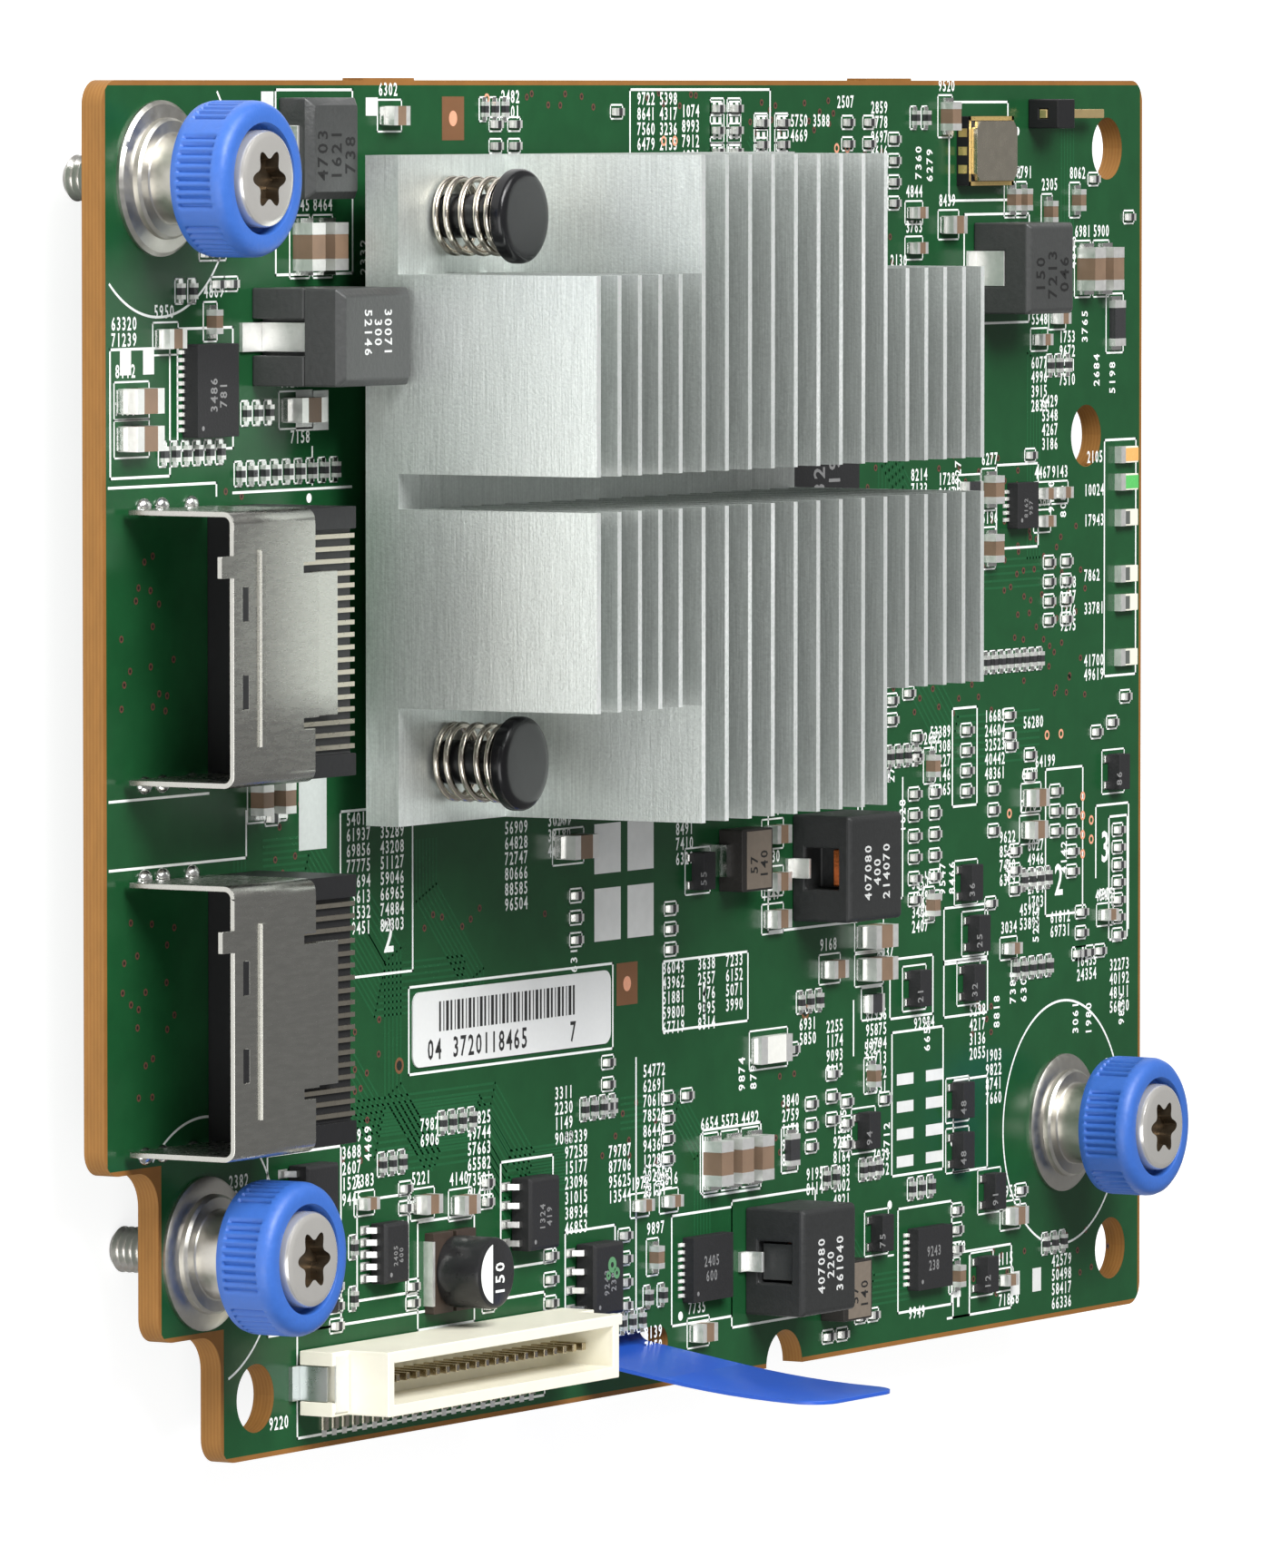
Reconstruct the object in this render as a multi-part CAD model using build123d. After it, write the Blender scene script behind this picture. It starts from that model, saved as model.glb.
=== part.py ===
from build123d import *
import os
from math import cos, pi, radians, sin

os.makedirs("parts", exist_ok=True)

# Host bus adapter: a mezzanine circuit card that lies component side up.
# Units are millimetres. Origin: centre of the card's outline, on the plane that it rests on, +Z up.
# Places on the card are given as x from the left and y from the top edge of its green face.

# The card
card_length = 138.8
card_width = 89.6
card_thickness = 1.57


def along(x):
    """A distance from the card's left, read on a card 138.8 long, at the same share of this one."""
    return x * card_length / 138.8


def down(y):
    """A distance from the card's top edge, read on a card 89.6 wide, at the same share of this one."""
    return y * card_width / 89.6


def spread(places):
    """Places with their first two numbers at the same share of this card."""
    return [(along(x), down(y), *rest) for x, y, *rest in places]


mask_margin = 0.33
corner_radius = 1.6
step_one_x, step_one_y = along(6.3), down(69.6)
step_two_x, step_two_y = along(13.7), down(80.8)
step_fillet = 2.4
fixing_hole_radius = 2.25
fixing_holes = spread([(133.1, 4.6), (130.0, 25.4), (133.9, 84.9), (17.5, 85.3)])
slot_left, slot_top = along(55.6), down(85.0)
slot_length, slot_width = 14.7, 2.5
notch_x, notch_radius = along(86.3), 2.5
stub_centres = [along(34.1), along(100.9)]
stub_length, stub_depth = 6.4, 0.15
overlap = 0.2

# The captive thumbscrews, one at each of three corners. Their small round parts are drawn many-sided.
round_sides = 20
pin_sides = 12
screw_places = spread([(6.25, 5.95), (11.4, 75.35), (126.6, 75.15)])
thread_radius = 1.5
undercut_radius = 1.2
web_clearance = 0.08
flange_radius = 5.0
flange_thickness = 0.5
flange_step_radius = 3.9
flange_step_height = 1.1
ferrule_shank_radius = 2.6
press_clearance = 0.03
sleeve_radius = 2.9
sleeve_wall = 0.45
sleeve_height = 3.7
ferrule_web_top = 0.6
knob_radius = 5.0
knob_bottom = 3.9
knob_top = 8.05
knob_round = 0.8
knob_sleeve_clearance = 0.3
knob_stroke = 2.6
knob_web = 0.6
head_radius = 3.1
head_top = 8.4
head_recess_clearance = 0.45
neck_radius = 2.1
drive_radius = 1.85
drive_waist = 1.35
drive_depth = 1.0
drive_tip_turn = 9.0
stop_gap = 0.03
groove_groups = 5
grooves_in_group = 4
groove_pitch = 13.0
groove_depth = 0.3
screw_spring_radius = 1.95
screw_spring_wire = 0.4
screw_spring_turns = 3
spring_steps = 8

# What stands below the card: the host connector sets the height, and the screw tips come level with it
stand_off = 5.0
host_x, host_y = along(75.0), down(62.0)
host_length, host_width = 52.0, 15.0
host_wall = 1.2
host_corner, host_end = 0.8, 1.5
host_recess = 2.6
host_rows = 10
host_pitch = 1.27
host_blade = 0.3
host_blade_height = 1.4

# The heatsink, on the controller
sink_left, sink_top = along(26.4), down(4.55)
sink_length, sink_width = 51.7, 43.8
sink_underside = 3.0
sink_base = 2.5
sink_height = 17.5
ear_width = 7.75
side_fins, middle_fins = 5, 9
side_fin_pitch = 2.6
middle_fin_pitch = 3.02
fin_tip, fin_root = 0.5, 0.8
cross_slot = 2.3
package_length, package_thickness = 31.0, 2.7
pad_length = 26.0

# The spring pins that hold the heatsink down
pin_inset_x, pin_inset_y = 6.3, 4.0
pin_shaft_radius = 1.45
pin_hole_clearance = 0.1
pin_head_radius = 3.1
pin_head_height = 1.2
pin_stroke = 1.2
pin_spring_pressed = 3.6
pin_spring_space = pin_spring_pressed + pin_stroke
barb_radius = 1.95
barb_height = 1.1
barb_tip = 1.8
barb_slit = 0.5
barb_bridge = 0.4
barb_thickness = 1.8
pin_spring_radius = 2.35
pin_spring_wire = 0.5
pin_spring_turns = 3
spring_seat_gap = 0.02

# The two drive connectors: a sheet shell over a housing with one row of contacts
port_tops = [down(27.0), down(50.8)]
port_left, port_width = along(1.8), 17.6
shell_length = 9.7
shell_height = 8.5
sheet = 0.35
shell_bend = 0.8
tongue_length, tongue_width = 3.7, 9.3
tongue_notch_depth, tongue_notch_width = 1.4, 0.7
shell_slot_length, shell_slot_width = 2.2, 0.75
shell_slot_inset = 1.4
shell_slot_ys = [5.9, 11.5]
rib_inset, rib_length, rib_height, rib_width = 3.0, 12.6, 0.2, 0.5
tab_length, tab_width, tab_y = 1.4, 1.4, 2.8
post_xs = [2.5, 4.6, 8.1]
post_width = 0.6
shell_foot = 0.5
port_housing_length = 6.1
port_housing_height = 7.5
port_mouth_length, port_mouth_height, port_mouth_depth = 13.8, 2.4, 3.4
contact_count = 18
contact_pitch = 0.8
contact_width = 0.3
contact_thickness = 0.2
contact_foot = 0.9
contact_cover = 0.25
contact_side = 0.3

# The shrouded wire connector beside the card's front edge
wire_left, wire_top = along(24.3), down(82.6)
wire_length, wire_width = 29.4, 4.25
wire_height = 6.0
wire_wall = 0.75
wire_floor = 1.6
wire_gap = 0.3
wire_end_block, wire_block_height = 1.9, 2.6
wire_contacts = 22
wire_pitch = 1.25
wire_first = 1.6
wire_blade_width, wire_blade_depth, wire_blade_top = 0.4, 0.5, 4.2
anchor_width, anchor_sheet = 2.3, 0.3
anchor_foot, anchor_height = 1.2, 2.4
wire_lip, wire_lip_height = 0.45, 0.8

# The pull strip, a film that is bonded under the card and stands up through the slot
strip_left, strip_width = slot_left + 2.6, 10.8
strip_thickness = 0.25
strip_bonded = 9.0
strip_bend = 1.2
strip_rise = 19.4
strip_straight = 7.5
strip_lean = 9.0
strip_corner = 2.2

# Inductors, as left, top, length, width and height
low_inductor = (along(20.6), down(0.8), 6.15, 6.6, 2.5)
sink_clearance, tall_length = 0.3, 8.8
tall_inductor = (sink_left - sink_clearance - tall_length, down(13.1), tall_length, 6.35, 6.9)
tall_seam = 4.0
tall_gap, tall_recess, tall_lead = 2.4, 1.2, 1.9
edge_inductor = (along(113.2), down(9.8), 6.7, 6.5, 4.6)
edge_lead, edge_bevel = 2.5, 0.3
power_inductors = spread([(87.4, 50.8), (80.9, 77.8)])
power_size, power_bevel = (7.4, 7.45, 4.7), 0.25
window_width, window_bottom, window_top, window_depth = 2.9, 1.0, 3.7, 2.2
coil_lift, coil_end, coil_height = 1.5, 0.7, 1.0
core_bevel = 0.5
lead_sheet = 0.25
tall_pad, edge_pad, low_pad, power_pad = 1.5, 1.15, 0.9, 1.0
low_lead, low_lead_height, power_lead, power_lead_lift = 3.0, 1.6, 1.4, 0.5
drum_x, drum_y = along(41.2), down(78.9)
drum_radius, drum_height, drum_bevel = 2.4, 4.0, 0.25
drum_base, drum_base_height = 5.4, 0.7

# Packages with legs on both sides: left, top, body length along x, body width along y, height, leg pitch
leaded_packages = spread([
    (49.5, 73.35, 3.9, 4.9, 1.6, 1.27),
    (57.95, 78.5, 3.9, 4.9, 1.6, 1.27),
    (21.5, 70.4, 3.9, 9.9, 1.6, 1.27),
    (31.6, 75.0, 3.0, 4.0, 1.3, 0.8),
])
leg_counts = [4, 4, 8, 5]
leg_reach, leg_width, leg_sheet = 1.0, 0.4, 0.2
leg_exit = 0.45

# Packages with no legs, as left, top, length, width and height
flat_packages = spread([
    (9.0, 16.6, 4.9, 6.0, 1.2),
    (118.2, 28.5, 3.1, 3.3, 0.9),
    (72.3, 79.2, 5.4, 4.5, 0.9),
    (103.8, 81.1, 5.0, 4.4, 0.9),
    (85.6, 21.5, 9.3, 11.0, 1.1),
])
oscillator = (along(110.7), down(2.2), 6.6, 4.95, 1.0)
oscillator_lid_inset, oscillator_lid_height, oscillator_lid_corner = 0.35, 0.5, 0.5
tantalum_parts = spread([(77.2, 51.3, 4.2, 4.3, 1.9), (91.4, 82.4, 4.0, 4.2, 1.9)])
fuse_place = (along(81.9), down(66.0), 4.3, 1.9, 0.7)
label_place = (along(36.9), down(60.1), 25.6, 5.0, 0.1)

# Small outline transistors, as centres
transistor_places = spread([
    (113.3, 60.6), (104.7, 64.0), (112.6, 64.1), (111.0, 72.4), (111.0, 76.0), (134.2, 50.0),
    (99.3, 81.0), (115.7, 79.3), (114.6, 85.2), (74.3, 54.0), (112.2, 56.9), (97.4, 73.6),
])
transistor_size = (1.6, 2.6, 1.0)

# Ceramic capacitors: centre, length and width, with the length along x, or along y where turned
large_chip = (3.1, 1.6, 1.5)
middle_chip = (2.0, 1.25, 1.0)
small_chip = (1.55, 0.8, 0.75)
tiny_chip = (1.0, 0.5, 0.45)
large_capacitors = spread([
    (3.0, 20.1, 0), (3.0, 22.5, 0), (23.1, 10.5, 90), (25.9, 10.5, 90), (22.6, 21.1, 0),
    (75.9, 74.3, 90), (78.7, 74.3, 90), (81.5, 74.3, 90), (129.4, 13.3, 90), (132.2, 13.3, 90),
    (57.0, 51.4, 0), (98.2, 59.9, 0), (98.2, 62.2, 0),
])
middle_capacitors = spread([
    (34.2, 2.0, 0), (7.0, 16.2, 0), (43.0, 74.6, 0), (38.2, 74.2, 0), (84.6, 52.0, 0), (84.6, 55.3, 0),
    (84.6, 57.9, 0), (17.7, 46.3, 90), (20.4, 46.3, 90), (109.5, 9.9, 0), (92.6, 61.9, 0), (115.4, 28.9, 90),
    (115.4, 33.1, 90), (121.8, 51.3, 0), (121.6, 53.6, 0), (74.4, 85.9, 0), (118.8, 81.3, 0),
    (109.0, 2.2, 90),
])
small_capacitors = spread([
    (118.5, 8.2, 90), (120.2, 8.2, 90), (124.0, 9.1, 90), (128.2, 8.3, 90), (122.9, 18.3, 0),
    (125.6, 16.8, 0), (104.5, 9.0, 0), (104.5, 11.5, 0), (123.4, 29.4, 0), (126.0, 29.4, 0),
    (123.4, 31.4, 0),
    (106.8, 48.3, 90), (106.8, 58.2, 90), (118.5, 62.0, 0), (110.6, 85.0, 90), (118.0, 85.9, 0),
    (133.0, 60.4, 0),
    (66.5, 76.5, 0), (70.4, 76.5, 0), (68.2, 80.2, 90), (30.9, 73.6, 0), (98.3, 69.8, 90), (12.3, 15.2, 90),
])
# Rows of tiny chips: first centre, count, step along x and y, and the turn
tiny_rows = spread([
    (104.4, 2.3, 2, 1.6, 0.0, 90), (76.8, 1.6, 3, 0.0, 1.5, 0), (79.3, 1.6, 3, 0.0, 1.5, 0),
    (15.6, 25.1, 9, 1.45, 0.0, 90), (112.2, 46.0, 4, 0.0, 1.45, 0), (104.6, 50.2, 6, 0.0, 1.5, 0),
    (125.4, 51.0, 3, 0.0, 1.45, 0), (127.9, 52.6, 4, 0.0, 1.45, 0), (134.9, 54.3, 7, 0.0, 1.28, 0),
    (54.6, 79.0, 3, 0.0, 1.6, 0), (64.4, 78.4, 4, 0.0, 1.6, 0), (67.4, 82.9, 2, 1.9, 0.0, 90),
    (129.3, 60.0, 3, 0.0, 1.5, 0), (92.9, 69.3, 3, 0.0, 1.6, 0),
])
lamp_places = spread([
    (134.4, 26.9), (134.4, 28.9), (134.4, 31.5), (134.4, 35.6), (134.4, 37.7), (134.4, 41.7),
])
lamp_length, lamp_width, lamp_height = 2.6, 1.2, 0.55
header_left, header_top = along(121.2), down(1.0)
header_length, header_width, header_height = 2.5, 2.1, 2.5
header_pin, header_pin_reach = 0.64, 8.6


card_bottom = stand_off
card_top = stand_off + card_thickness
sink_back = card_top + sink_underside


def spot(x, y, z=0.0):
    """A point given from the green face's top left corner, with z above the resting plane."""
    return Vector(x + mask_margin - card_length / 2, (card_width - stub_depth) / 2 - mask_margin - y, z)


def brick(left, top, length, width, z, height):
    """A box from its left and top edges on the card, standing on z."""
    centre = spot(left + length / 2, top + width / 2, z + height / 2)
    return Pos(*centre) * Box(length, width, height)


def rod(x, y, radius, z, height):
    return Pos(*spot(x, y, z + height / 2)) * Cylinder(radius, height)


def pillar(radius, z, height, sides=round_sides):
    """An upright many-sided bar about the Z axis."""
    return Pos(0, 0, z) * extrude(RegularPolygon(radius, sides), height)


def bent_strip(points, x, y, z, way, width):
    """A side profile, with its lengths counted towards way along x, made as wide as given about y."""
    plane = Plane(origin=spot(x, y, z), x_dir=(way, 0, 0), z_dir=(0, -way, 0))
    return extrude(plane * make_face(Polyline(*points, close=True)), width / 2, both=True)


def beside(solids):
    """Separate solids of one node."""
    return Compound(children=[s for s in solids])


# The card
def near(edge, points):
    """Whether an upright edge stands at one of the points."""
    centre = edge.center()
    return any(abs(centre.X - p.X) + abs(centre.Y - p.Y) < 0.01 for p in points)


def circuit_board():
    low_y = card_width - 2 * mask_margin
    far_x = card_length - mask_margin
    outline = [
        (-mask_margin, -mask_margin), (far_x, -mask_margin), (far_x, low_y + mask_margin),
        (step_two_x - mask_margin, low_y + mask_margin), (step_two_x - mask_margin, step_two_y),
        (step_one_x - mask_margin, step_two_y), (step_one_x - mask_margin, step_one_y),
        (-mask_margin, step_one_y),
    ]
    points = [spot(x, y) for x, y in outline]
    sheet_face = make_face(Polyline(*[(p.X, p.Y) for p in points], close=True))
    board = Pos(0, 0, card_bottom) * extrude(sheet_face, card_thickness)
    upright = board.edges().filter_by(Axis.Z)
    hollow_places = [spot(step_two_x - mask_margin, step_two_y), spot(step_one_x - mask_margin, step_one_y)]
    hollow = [e for e in upright if near(e, hollow_places)]
    board = fillet(hollow, step_fillet)
    inside = [e for e in board.edges().filter_by(Axis.Z) if e.geom_type == GeomType.LINE]
    corners = [spot(x, y) for x, y in outline if (x, y) not in (outline[4], outline[6])]
    outer = [e for e in inside if near(e, corners)]
    board = fillet(outer, corner_radius)
    for x in stub_centres:
        far_y = -mask_margin - stub_depth
        depth = stub_depth + overlap
        board += brick(x - stub_length / 2, far_y, stub_length, depth, card_bottom, card_thickness)
    for x, y in fixing_holes:
        board -= rod(x, y, fixing_hole_radius, card_bottom, card_thickness)
    for x, y in screw_places:
        hole = pillar(ferrule_shank_radius + press_clearance, card_bottom, card_thickness)
        board -= Pos(*spot(x, y)) * hole
    for x, y in pin_places():
        hole = pillar(pin_shaft_radius + pin_hole_clearance, card_bottom, card_thickness, pin_sides)
        board -= Pos(*spot(x, y)) * hole
    slot_centre = spot(slot_left + slot_length / 2, slot_top + slot_width / 2, card_bottom)
    board -= Pos(*slot_centre) * extrude(SlotOverall(slot_length, slot_width), card_thickness)
    notch_y = low_y + mask_margin
    board -= rod(notch_x, notch_y, notch_radius, card_bottom, card_thickness)
    return board


# The thumbscrews
def ferrule(x, y):
    """The fixed part: a flange on the card, a shank through it and the sleeve that guides the knob."""
    body = pillar(ferrule_shank_radius, -card_thickness, card_thickness)
    body += pillar(flange_radius, 0, flange_thickness)
    body += pillar(flange_step_radius, 0, flange_step_height)
    body += pillar(sleeve_radius, 0, sleeve_height)
    body -= pillar(sleeve_radius - sleeve_wall, ferrule_web_top, sleeve_height)
    bore = undercut_radius + web_clearance
    body -= pillar(bore, -card_thickness, card_thickness + ferrule_web_top, pin_sides)
    return Pos(*spot(x, y, card_top)) * body


def knob_ceiling():
    """The underside of the knob's web, where the spring ends and the stroke is measured from the sleeve."""
    return sleeve_height + knob_stroke + stop_gap


def grooved_outline():
    """The knob's outline: groups of shallow axial grooves with plain lands between the groups."""
    points = []
    for group in range(groove_groups):
        first = group * 360.0 / groove_groups
        for step in range(grooves_in_group + 1):
            ridge = radians(first + step * groove_pitch)
            points.append((knob_radius * cos(ridge), knob_radius * sin(ridge)))
            if step < grooves_in_group:
                valley = radians(first + (step + 0.5) * groove_pitch)
                depth = knob_radius - groove_depth
                points.append((depth * cos(valley), depth * sin(valley)))
    return make_face(Polyline(*points, close=True))


def knob(x, y):
    band_top = knob_top - knob_round
    seat = knob_ceiling() + knob_web
    body = Pos(0, 0, knob_bottom) * extrude(grooved_outline(), band_top - knob_bottom)
    shoulder = knob_radius - groove_depth
    cap = loft([Pos(0, 0, band_top) * RegularPolygon(shoulder, round_sides),
                Pos(0, 0, knob_top) * RegularPolygon(shoulder - knob_round, round_sides)])
    body += cap
    body -= pillar(sleeve_radius + knob_sleeve_clearance, knob_bottom, knob_ceiling() - knob_bottom)
    body -= pillar(head_radius + head_recess_clearance, seat, knob_top)
    body -= pillar(neck_radius + press_clearance, knob_bottom, knob_top, 6)
    return Pos(*spot(x, y, card_top)) * body


def drive_recess():
    """The six-pointed recess in the screw's head, as a cutter."""
    points = []
    for k in range(6):
        tip, waist = radians(60 * k), radians(60 * k + 30)
        for side in (tip - radians(drive_tip_turn), tip + radians(drive_tip_turn)):
            points.append((drive_radius * cos(side), drive_radius * sin(side)))
        points.append((drive_waist * cos(waist), drive_waist * sin(waist)))
    return Pos(0, 0, head_top - drive_depth) * extrude(make_face(Polyline(*points, close=True)), drive_depth)


def screw(x, y):
    """Thread, undercut shank, a six-sided neck in the knob's web and the head."""
    tip = -card_thickness - stand_off
    thread_top = -card_thickness - stop_gap
    seat = knob_ceiling() + knob_web
    body = pillar(thread_radius, tip, thread_top - tip)
    body += pillar(undercut_radius, thread_top, knob_ceiling() - thread_top, pin_sides)
    body += pillar(neck_radius, knob_ceiling(), knob_web, 6)
    body += pillar(head_radius, seat, head_top - seat)
    return Pos(*spot(x, y, card_top)) * (body - drive_recess())


def coil(radius, wire, bottom, top, turns):
    """A compression spring of square wire that winds up between its two seats."""
    rise = top - bottom - wire
    steps = turns * spring_steps
    points = []
    for k in range(steps + 1):
        angle = 2 * pi * k / spring_steps
        points.append((radius * cos(angle), radius * sin(angle), rise * k / steps))
    path = Polyline(*points)
    start = Plane(path @ 0, x_dir=(1, 0, 0), z_dir=path % 0)
    wire_end = make_face(start * Rectangle(wire, wire).wire())
    return Pos(0, 0, bottom + wire / 2) * sweep(wire_end, path, transition=Transition.RIGHT)


def screw_spring(x, y):
    bottom = ferrule_web_top + spring_seat_gap
    top = knob_ceiling() - spring_seat_gap
    wound = coil(screw_spring_radius, screw_spring_wire, bottom, top, screw_spring_turns)
    return Pos(*spot(x, y, card_top)) * wound


# The heatsink and what holds it down
def pin_places():
    xs = [sink_left + pin_inset_x, sink_left + sink_length - pin_inset_x]
    ys = [sink_top + pin_inset_y, sink_top + sink_width - pin_inset_y]
    return [(x, y) for x in xs for y in ys]


def fin_places():
    """The fins' centres along x: a wide pitch in the middle and a close one at each side."""
    first = sink_left + fin_root / 2
    last = sink_left + sink_length - fin_root / 2
    left = [first + side_fin_pitch * k for k in range(side_fins)]
    right = [last - side_fin_pitch * k for k in range(side_fins)]
    centre = (first + last) / 2
    start = centre - middle_fin_pitch * (middle_fins - 1) / 2
    middle = [start + middle_fin_pitch * k for k in range(middle_fins)]
    return left, middle, right


def heatsink():
    base = brick(sink_left, sink_top, sink_length, sink_width, sink_back, sink_base)
    fin_height = sink_height - sink_base
    left, middle, right = fin_places()
    low = sink_back + sink_base - 0.05
    centre_y = sink_top + sink_width / 2
    fins = []
    short = sink_width - 2 * ear_width
    for places, width in ((left, short), (middle, sink_width), (right, short)):
        for x in places:
            root, tip, rise = fin_root / 2, fin_tip / 2, fin_height + 0.05
            shape = Polyline((-root, 0), (root, 0), (tip, rise), (-tip, rise), close=True)
            fin = extrude(make_face(Plane.XZ * shape), width / 2, both=True)
            fins.append(Pos(*spot(x, centre_y, low)) * fin)
    sink = base + fins
    slot_y = centre_y - cross_slot / 2
    sink -= brick(sink_left - 1, slot_y, sink_length + 2, cross_slot, sink_back + sink_base, fin_height + 1)
    for x, y in pin_places():
        hole = pillar(pin_shaft_radius + pin_hole_clearance, sink_back, sink_base, pin_sides)
        sink -= Pos(*spot(x, y)) * hole
    return sink


def controller_package():
    centre_x = sink_left + sink_length / 2
    centre_y = sink_top + sink_width / 2
    side, half = package_length, package_length / 2
    return brick(centre_x - half, centre_y - half, side, side, card_top, package_thickness)


def thermal_pad():
    centre_x = sink_left + sink_length / 2
    centre_y = sink_top + sink_width / 2
    half = pad_length / 2
    z = card_top + package_thickness
    return brick(centre_x - half, centre_y - half, pad_length, pad_length, z, sink_back - z)


def push_pin(x, y):
    """Head, shaft and a split barb that catches below the card."""
    head = sink_underside + sink_base + pin_spring_space
    barb = -card_thickness - stop_gap
    body = pillar(pin_shaft_radius, barb, head - barb, pin_sides)
    body += pillar(pin_head_radius, head, pin_head_height, round_sides)
    half, point = barb_radius, pin_shaft_radius * 0.5
    shoulder = barb - barb_height
    end = shoulder - barb_tip
    arrow = Polyline((-half, barb), (half, barb), (half, shoulder), (point, end), (-point, end),
                     (-half, shoulder), close=True)
    body += extrude(make_face(Plane.XZ * arrow), barb_thickness / 2, both=True)
    slit_top = barb - barb_bridge
    slit_length = barb_height + barb_tip
    body -= Pos(0, 0, slit_top - slit_length / 2) * Box(barb_slit, barb_thickness * 2, slit_length)
    return Pos(*spot(x, y, card_top)) * body


def push_pin_spring(x, y):
    ear_top = sink_underside + sink_base
    bottom = ear_top + spring_seat_gap
    top = ear_top + pin_spring_space - spring_seat_gap
    wound = coil(pin_spring_radius, pin_spring_wire, bottom, top, pin_spring_turns)
    return Pos(*spot(x, y, card_top)) * wound


# The drive connectors
def port_shell(top):
    """The folded sheet: a roof, two cheeks with solder posts, and a tongue over the housing."""
    outer = brick(port_left, top, shell_length, port_width, card_top, shell_height)
    outer = fillet(outer.edges().filter_by(Axis.X).group_by(Axis.Z)[-1], shell_bend)
    inside = port_width - 2 * sheet
    hollow = brick(port_left - 1, top + sheet, shell_length + 2, inside, card_top, shell_height - sheet)
    hollow = fillet(hollow.edges().filter_by(Axis.X).group_by(Axis.Z)[-1], shell_bend - sheet)
    shell = outer - hollow
    roof_z = card_top + shell_height - sheet
    middle = top + port_width / 2
    right = port_left + shell_length
    tongue_drop = shell_height - sheet - port_housing_height
    curl = [(-1.0, 0), (0.2, 0), (0.9, -tongue_drop), (tongue_length, -tongue_drop),
            (tongue_length, sheet - tongue_drop), (1.1, sheet - tongue_drop), (0.4, sheet), (-1.0, sheet)]
    tongue = bent_strip(curl, right, middle, roof_z, 1, tongue_width)
    for y in (middle - tongue_width / 2 - tongue_notch_width, middle + tongue_width / 2):
        notch = tongue_notch_depth
        shell -= brick(right - notch, y, notch + 1, tongue_notch_width, roof_z - 0.1, sheet + 0.2)
    shell += tongue
    shell += brick(port_left - tab_length, top + tab_y, tab_length + 0.4, tab_width, roof_z, sheet)
    for y in shell_slot_ys:
        x = port_left + shell_slot_inset - shell_slot_width / 2
        slot_y = top + y - shell_slot_length / 2
        shell -= brick(x, slot_y, shell_slot_width, shell_slot_length, roof_z - 0.1, sheet + 0.2)
    rib_y = middle - rib_length / 2
    rib_z = roof_z + sheet / 2
    shell += brick(port_left + rib_inset, rib_y, rib_width, rib_length, rib_z, sheet / 2 + rib_height)
    for y in (top - 1, top + port_width - sheet - 0.1):
        starts = [port_left] + [port_left + x + post_width for x in post_xs]
        ends = [port_left + x for x in post_xs] + [right + 0.1]
        for low, high in zip(starts, ends):
            length = high - low + 0.002
            shell -= brick(low - 0.001, y, length, 1 + sheet + 0.1, card_top - 0.1, shell_foot + 0.1)
    return shell


def port_housing(top):
    left = port_left + shell_length + 0.4
    body = brick(left, top + 0.1, port_housing_length, port_width - 0.2, card_top, port_housing_height)
    middle = top + port_width / 2
    mouth_z = card_top + (port_housing_height - port_mouth_height) / 2
    mouth_y = middle - port_mouth_length / 2
    body -= brick(left - 1, mouth_y, port_mouth_depth + 1, port_mouth_length, mouth_z, port_mouth_height)
    shelf = contact_thickness + contact_cover
    row = (contact_count - 1) * contact_pitch + contact_width + 2 * contact_side
    shelf_z = card_top + port_housing_height - shelf
    body -= brick(left - 1, middle - row / 2, port_housing_length + 2, row, shelf_z, shelf + 1)
    return body


def port_contacts(top):
    left = port_left + shell_length + 0.4
    right = left + port_housing_length
    middle = top + port_width / 2
    row = (contact_count - 1) * contact_pitch + contact_width
    z = card_top + port_housing_height - contact_thickness - contact_cover
    drop = z - card_top
    t = contact_thickness
    shape = [(-port_housing_length, 0), (0, 0), (contact_foot - t, -drop), (contact_foot, -drop), (t, t),
             (-port_housing_length, t)]
    solids = []
    for k in range(contact_count):
        y = middle - row / 2 + k * contact_pitch + contact_width / 2
        solids.append(bent_strip(shape, right, y, z, 1, contact_width))
    return beside(solids)


# The wire connector
def wire_housing():
    z = card_top + wire_gap
    height = wire_height - wire_gap
    body = brick(wire_left, wire_top, wire_length, wire_width, z, height)
    inner_length = wire_length - 2 * wire_wall
    inner_width = wire_width - 2 * wire_wall
    floor = card_top + wire_floor
    body -= brick(wire_left + wire_wall, wire_top + wire_wall, inner_length, inner_width, floor, wire_height)
    for x in (wire_left - wire_end_block, wire_left + wire_length):
        body += brick(x, wire_top, wire_end_block, wire_width, z, wire_block_height)
        pocket_y = wire_top + (wire_width - anchor_width) / 2 - 0.05
        pocket = anchor_sheet * 2 + 0.5
        edge = x - 0.5 if x < wire_left else x + wire_end_block - anchor_sheet * 2
        body -= brick(edge, pocket_y, pocket, anchor_width + 0.1, z - 0.1, wire_block_height + 0.2)
    lip_z = card_top + wire_height - wire_lip_height
    body += brick(wire_left + wire_length, wire_top, wire_lip, wire_wall, lip_z, wire_lip_height)
    return body


def wire_anchors():
    solids = []
    centre = wire_top + wire_width / 2
    t = anchor_sheet
    shape = [(-anchor_foot, 0), (0, 0), (0, anchor_height), (-t, anchor_height), (-t, t), (-anchor_foot, t)]
    for x, way in ((wire_left - wire_end_block, 1), (wire_left + wire_length + wire_end_block, -1)):
        plate_x = x + way * (anchor_sheet + 0.05)
        solids.append(bent_strip(shape, plate_x, centre, card_top, way, anchor_width))
    return beside(solids)


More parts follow.
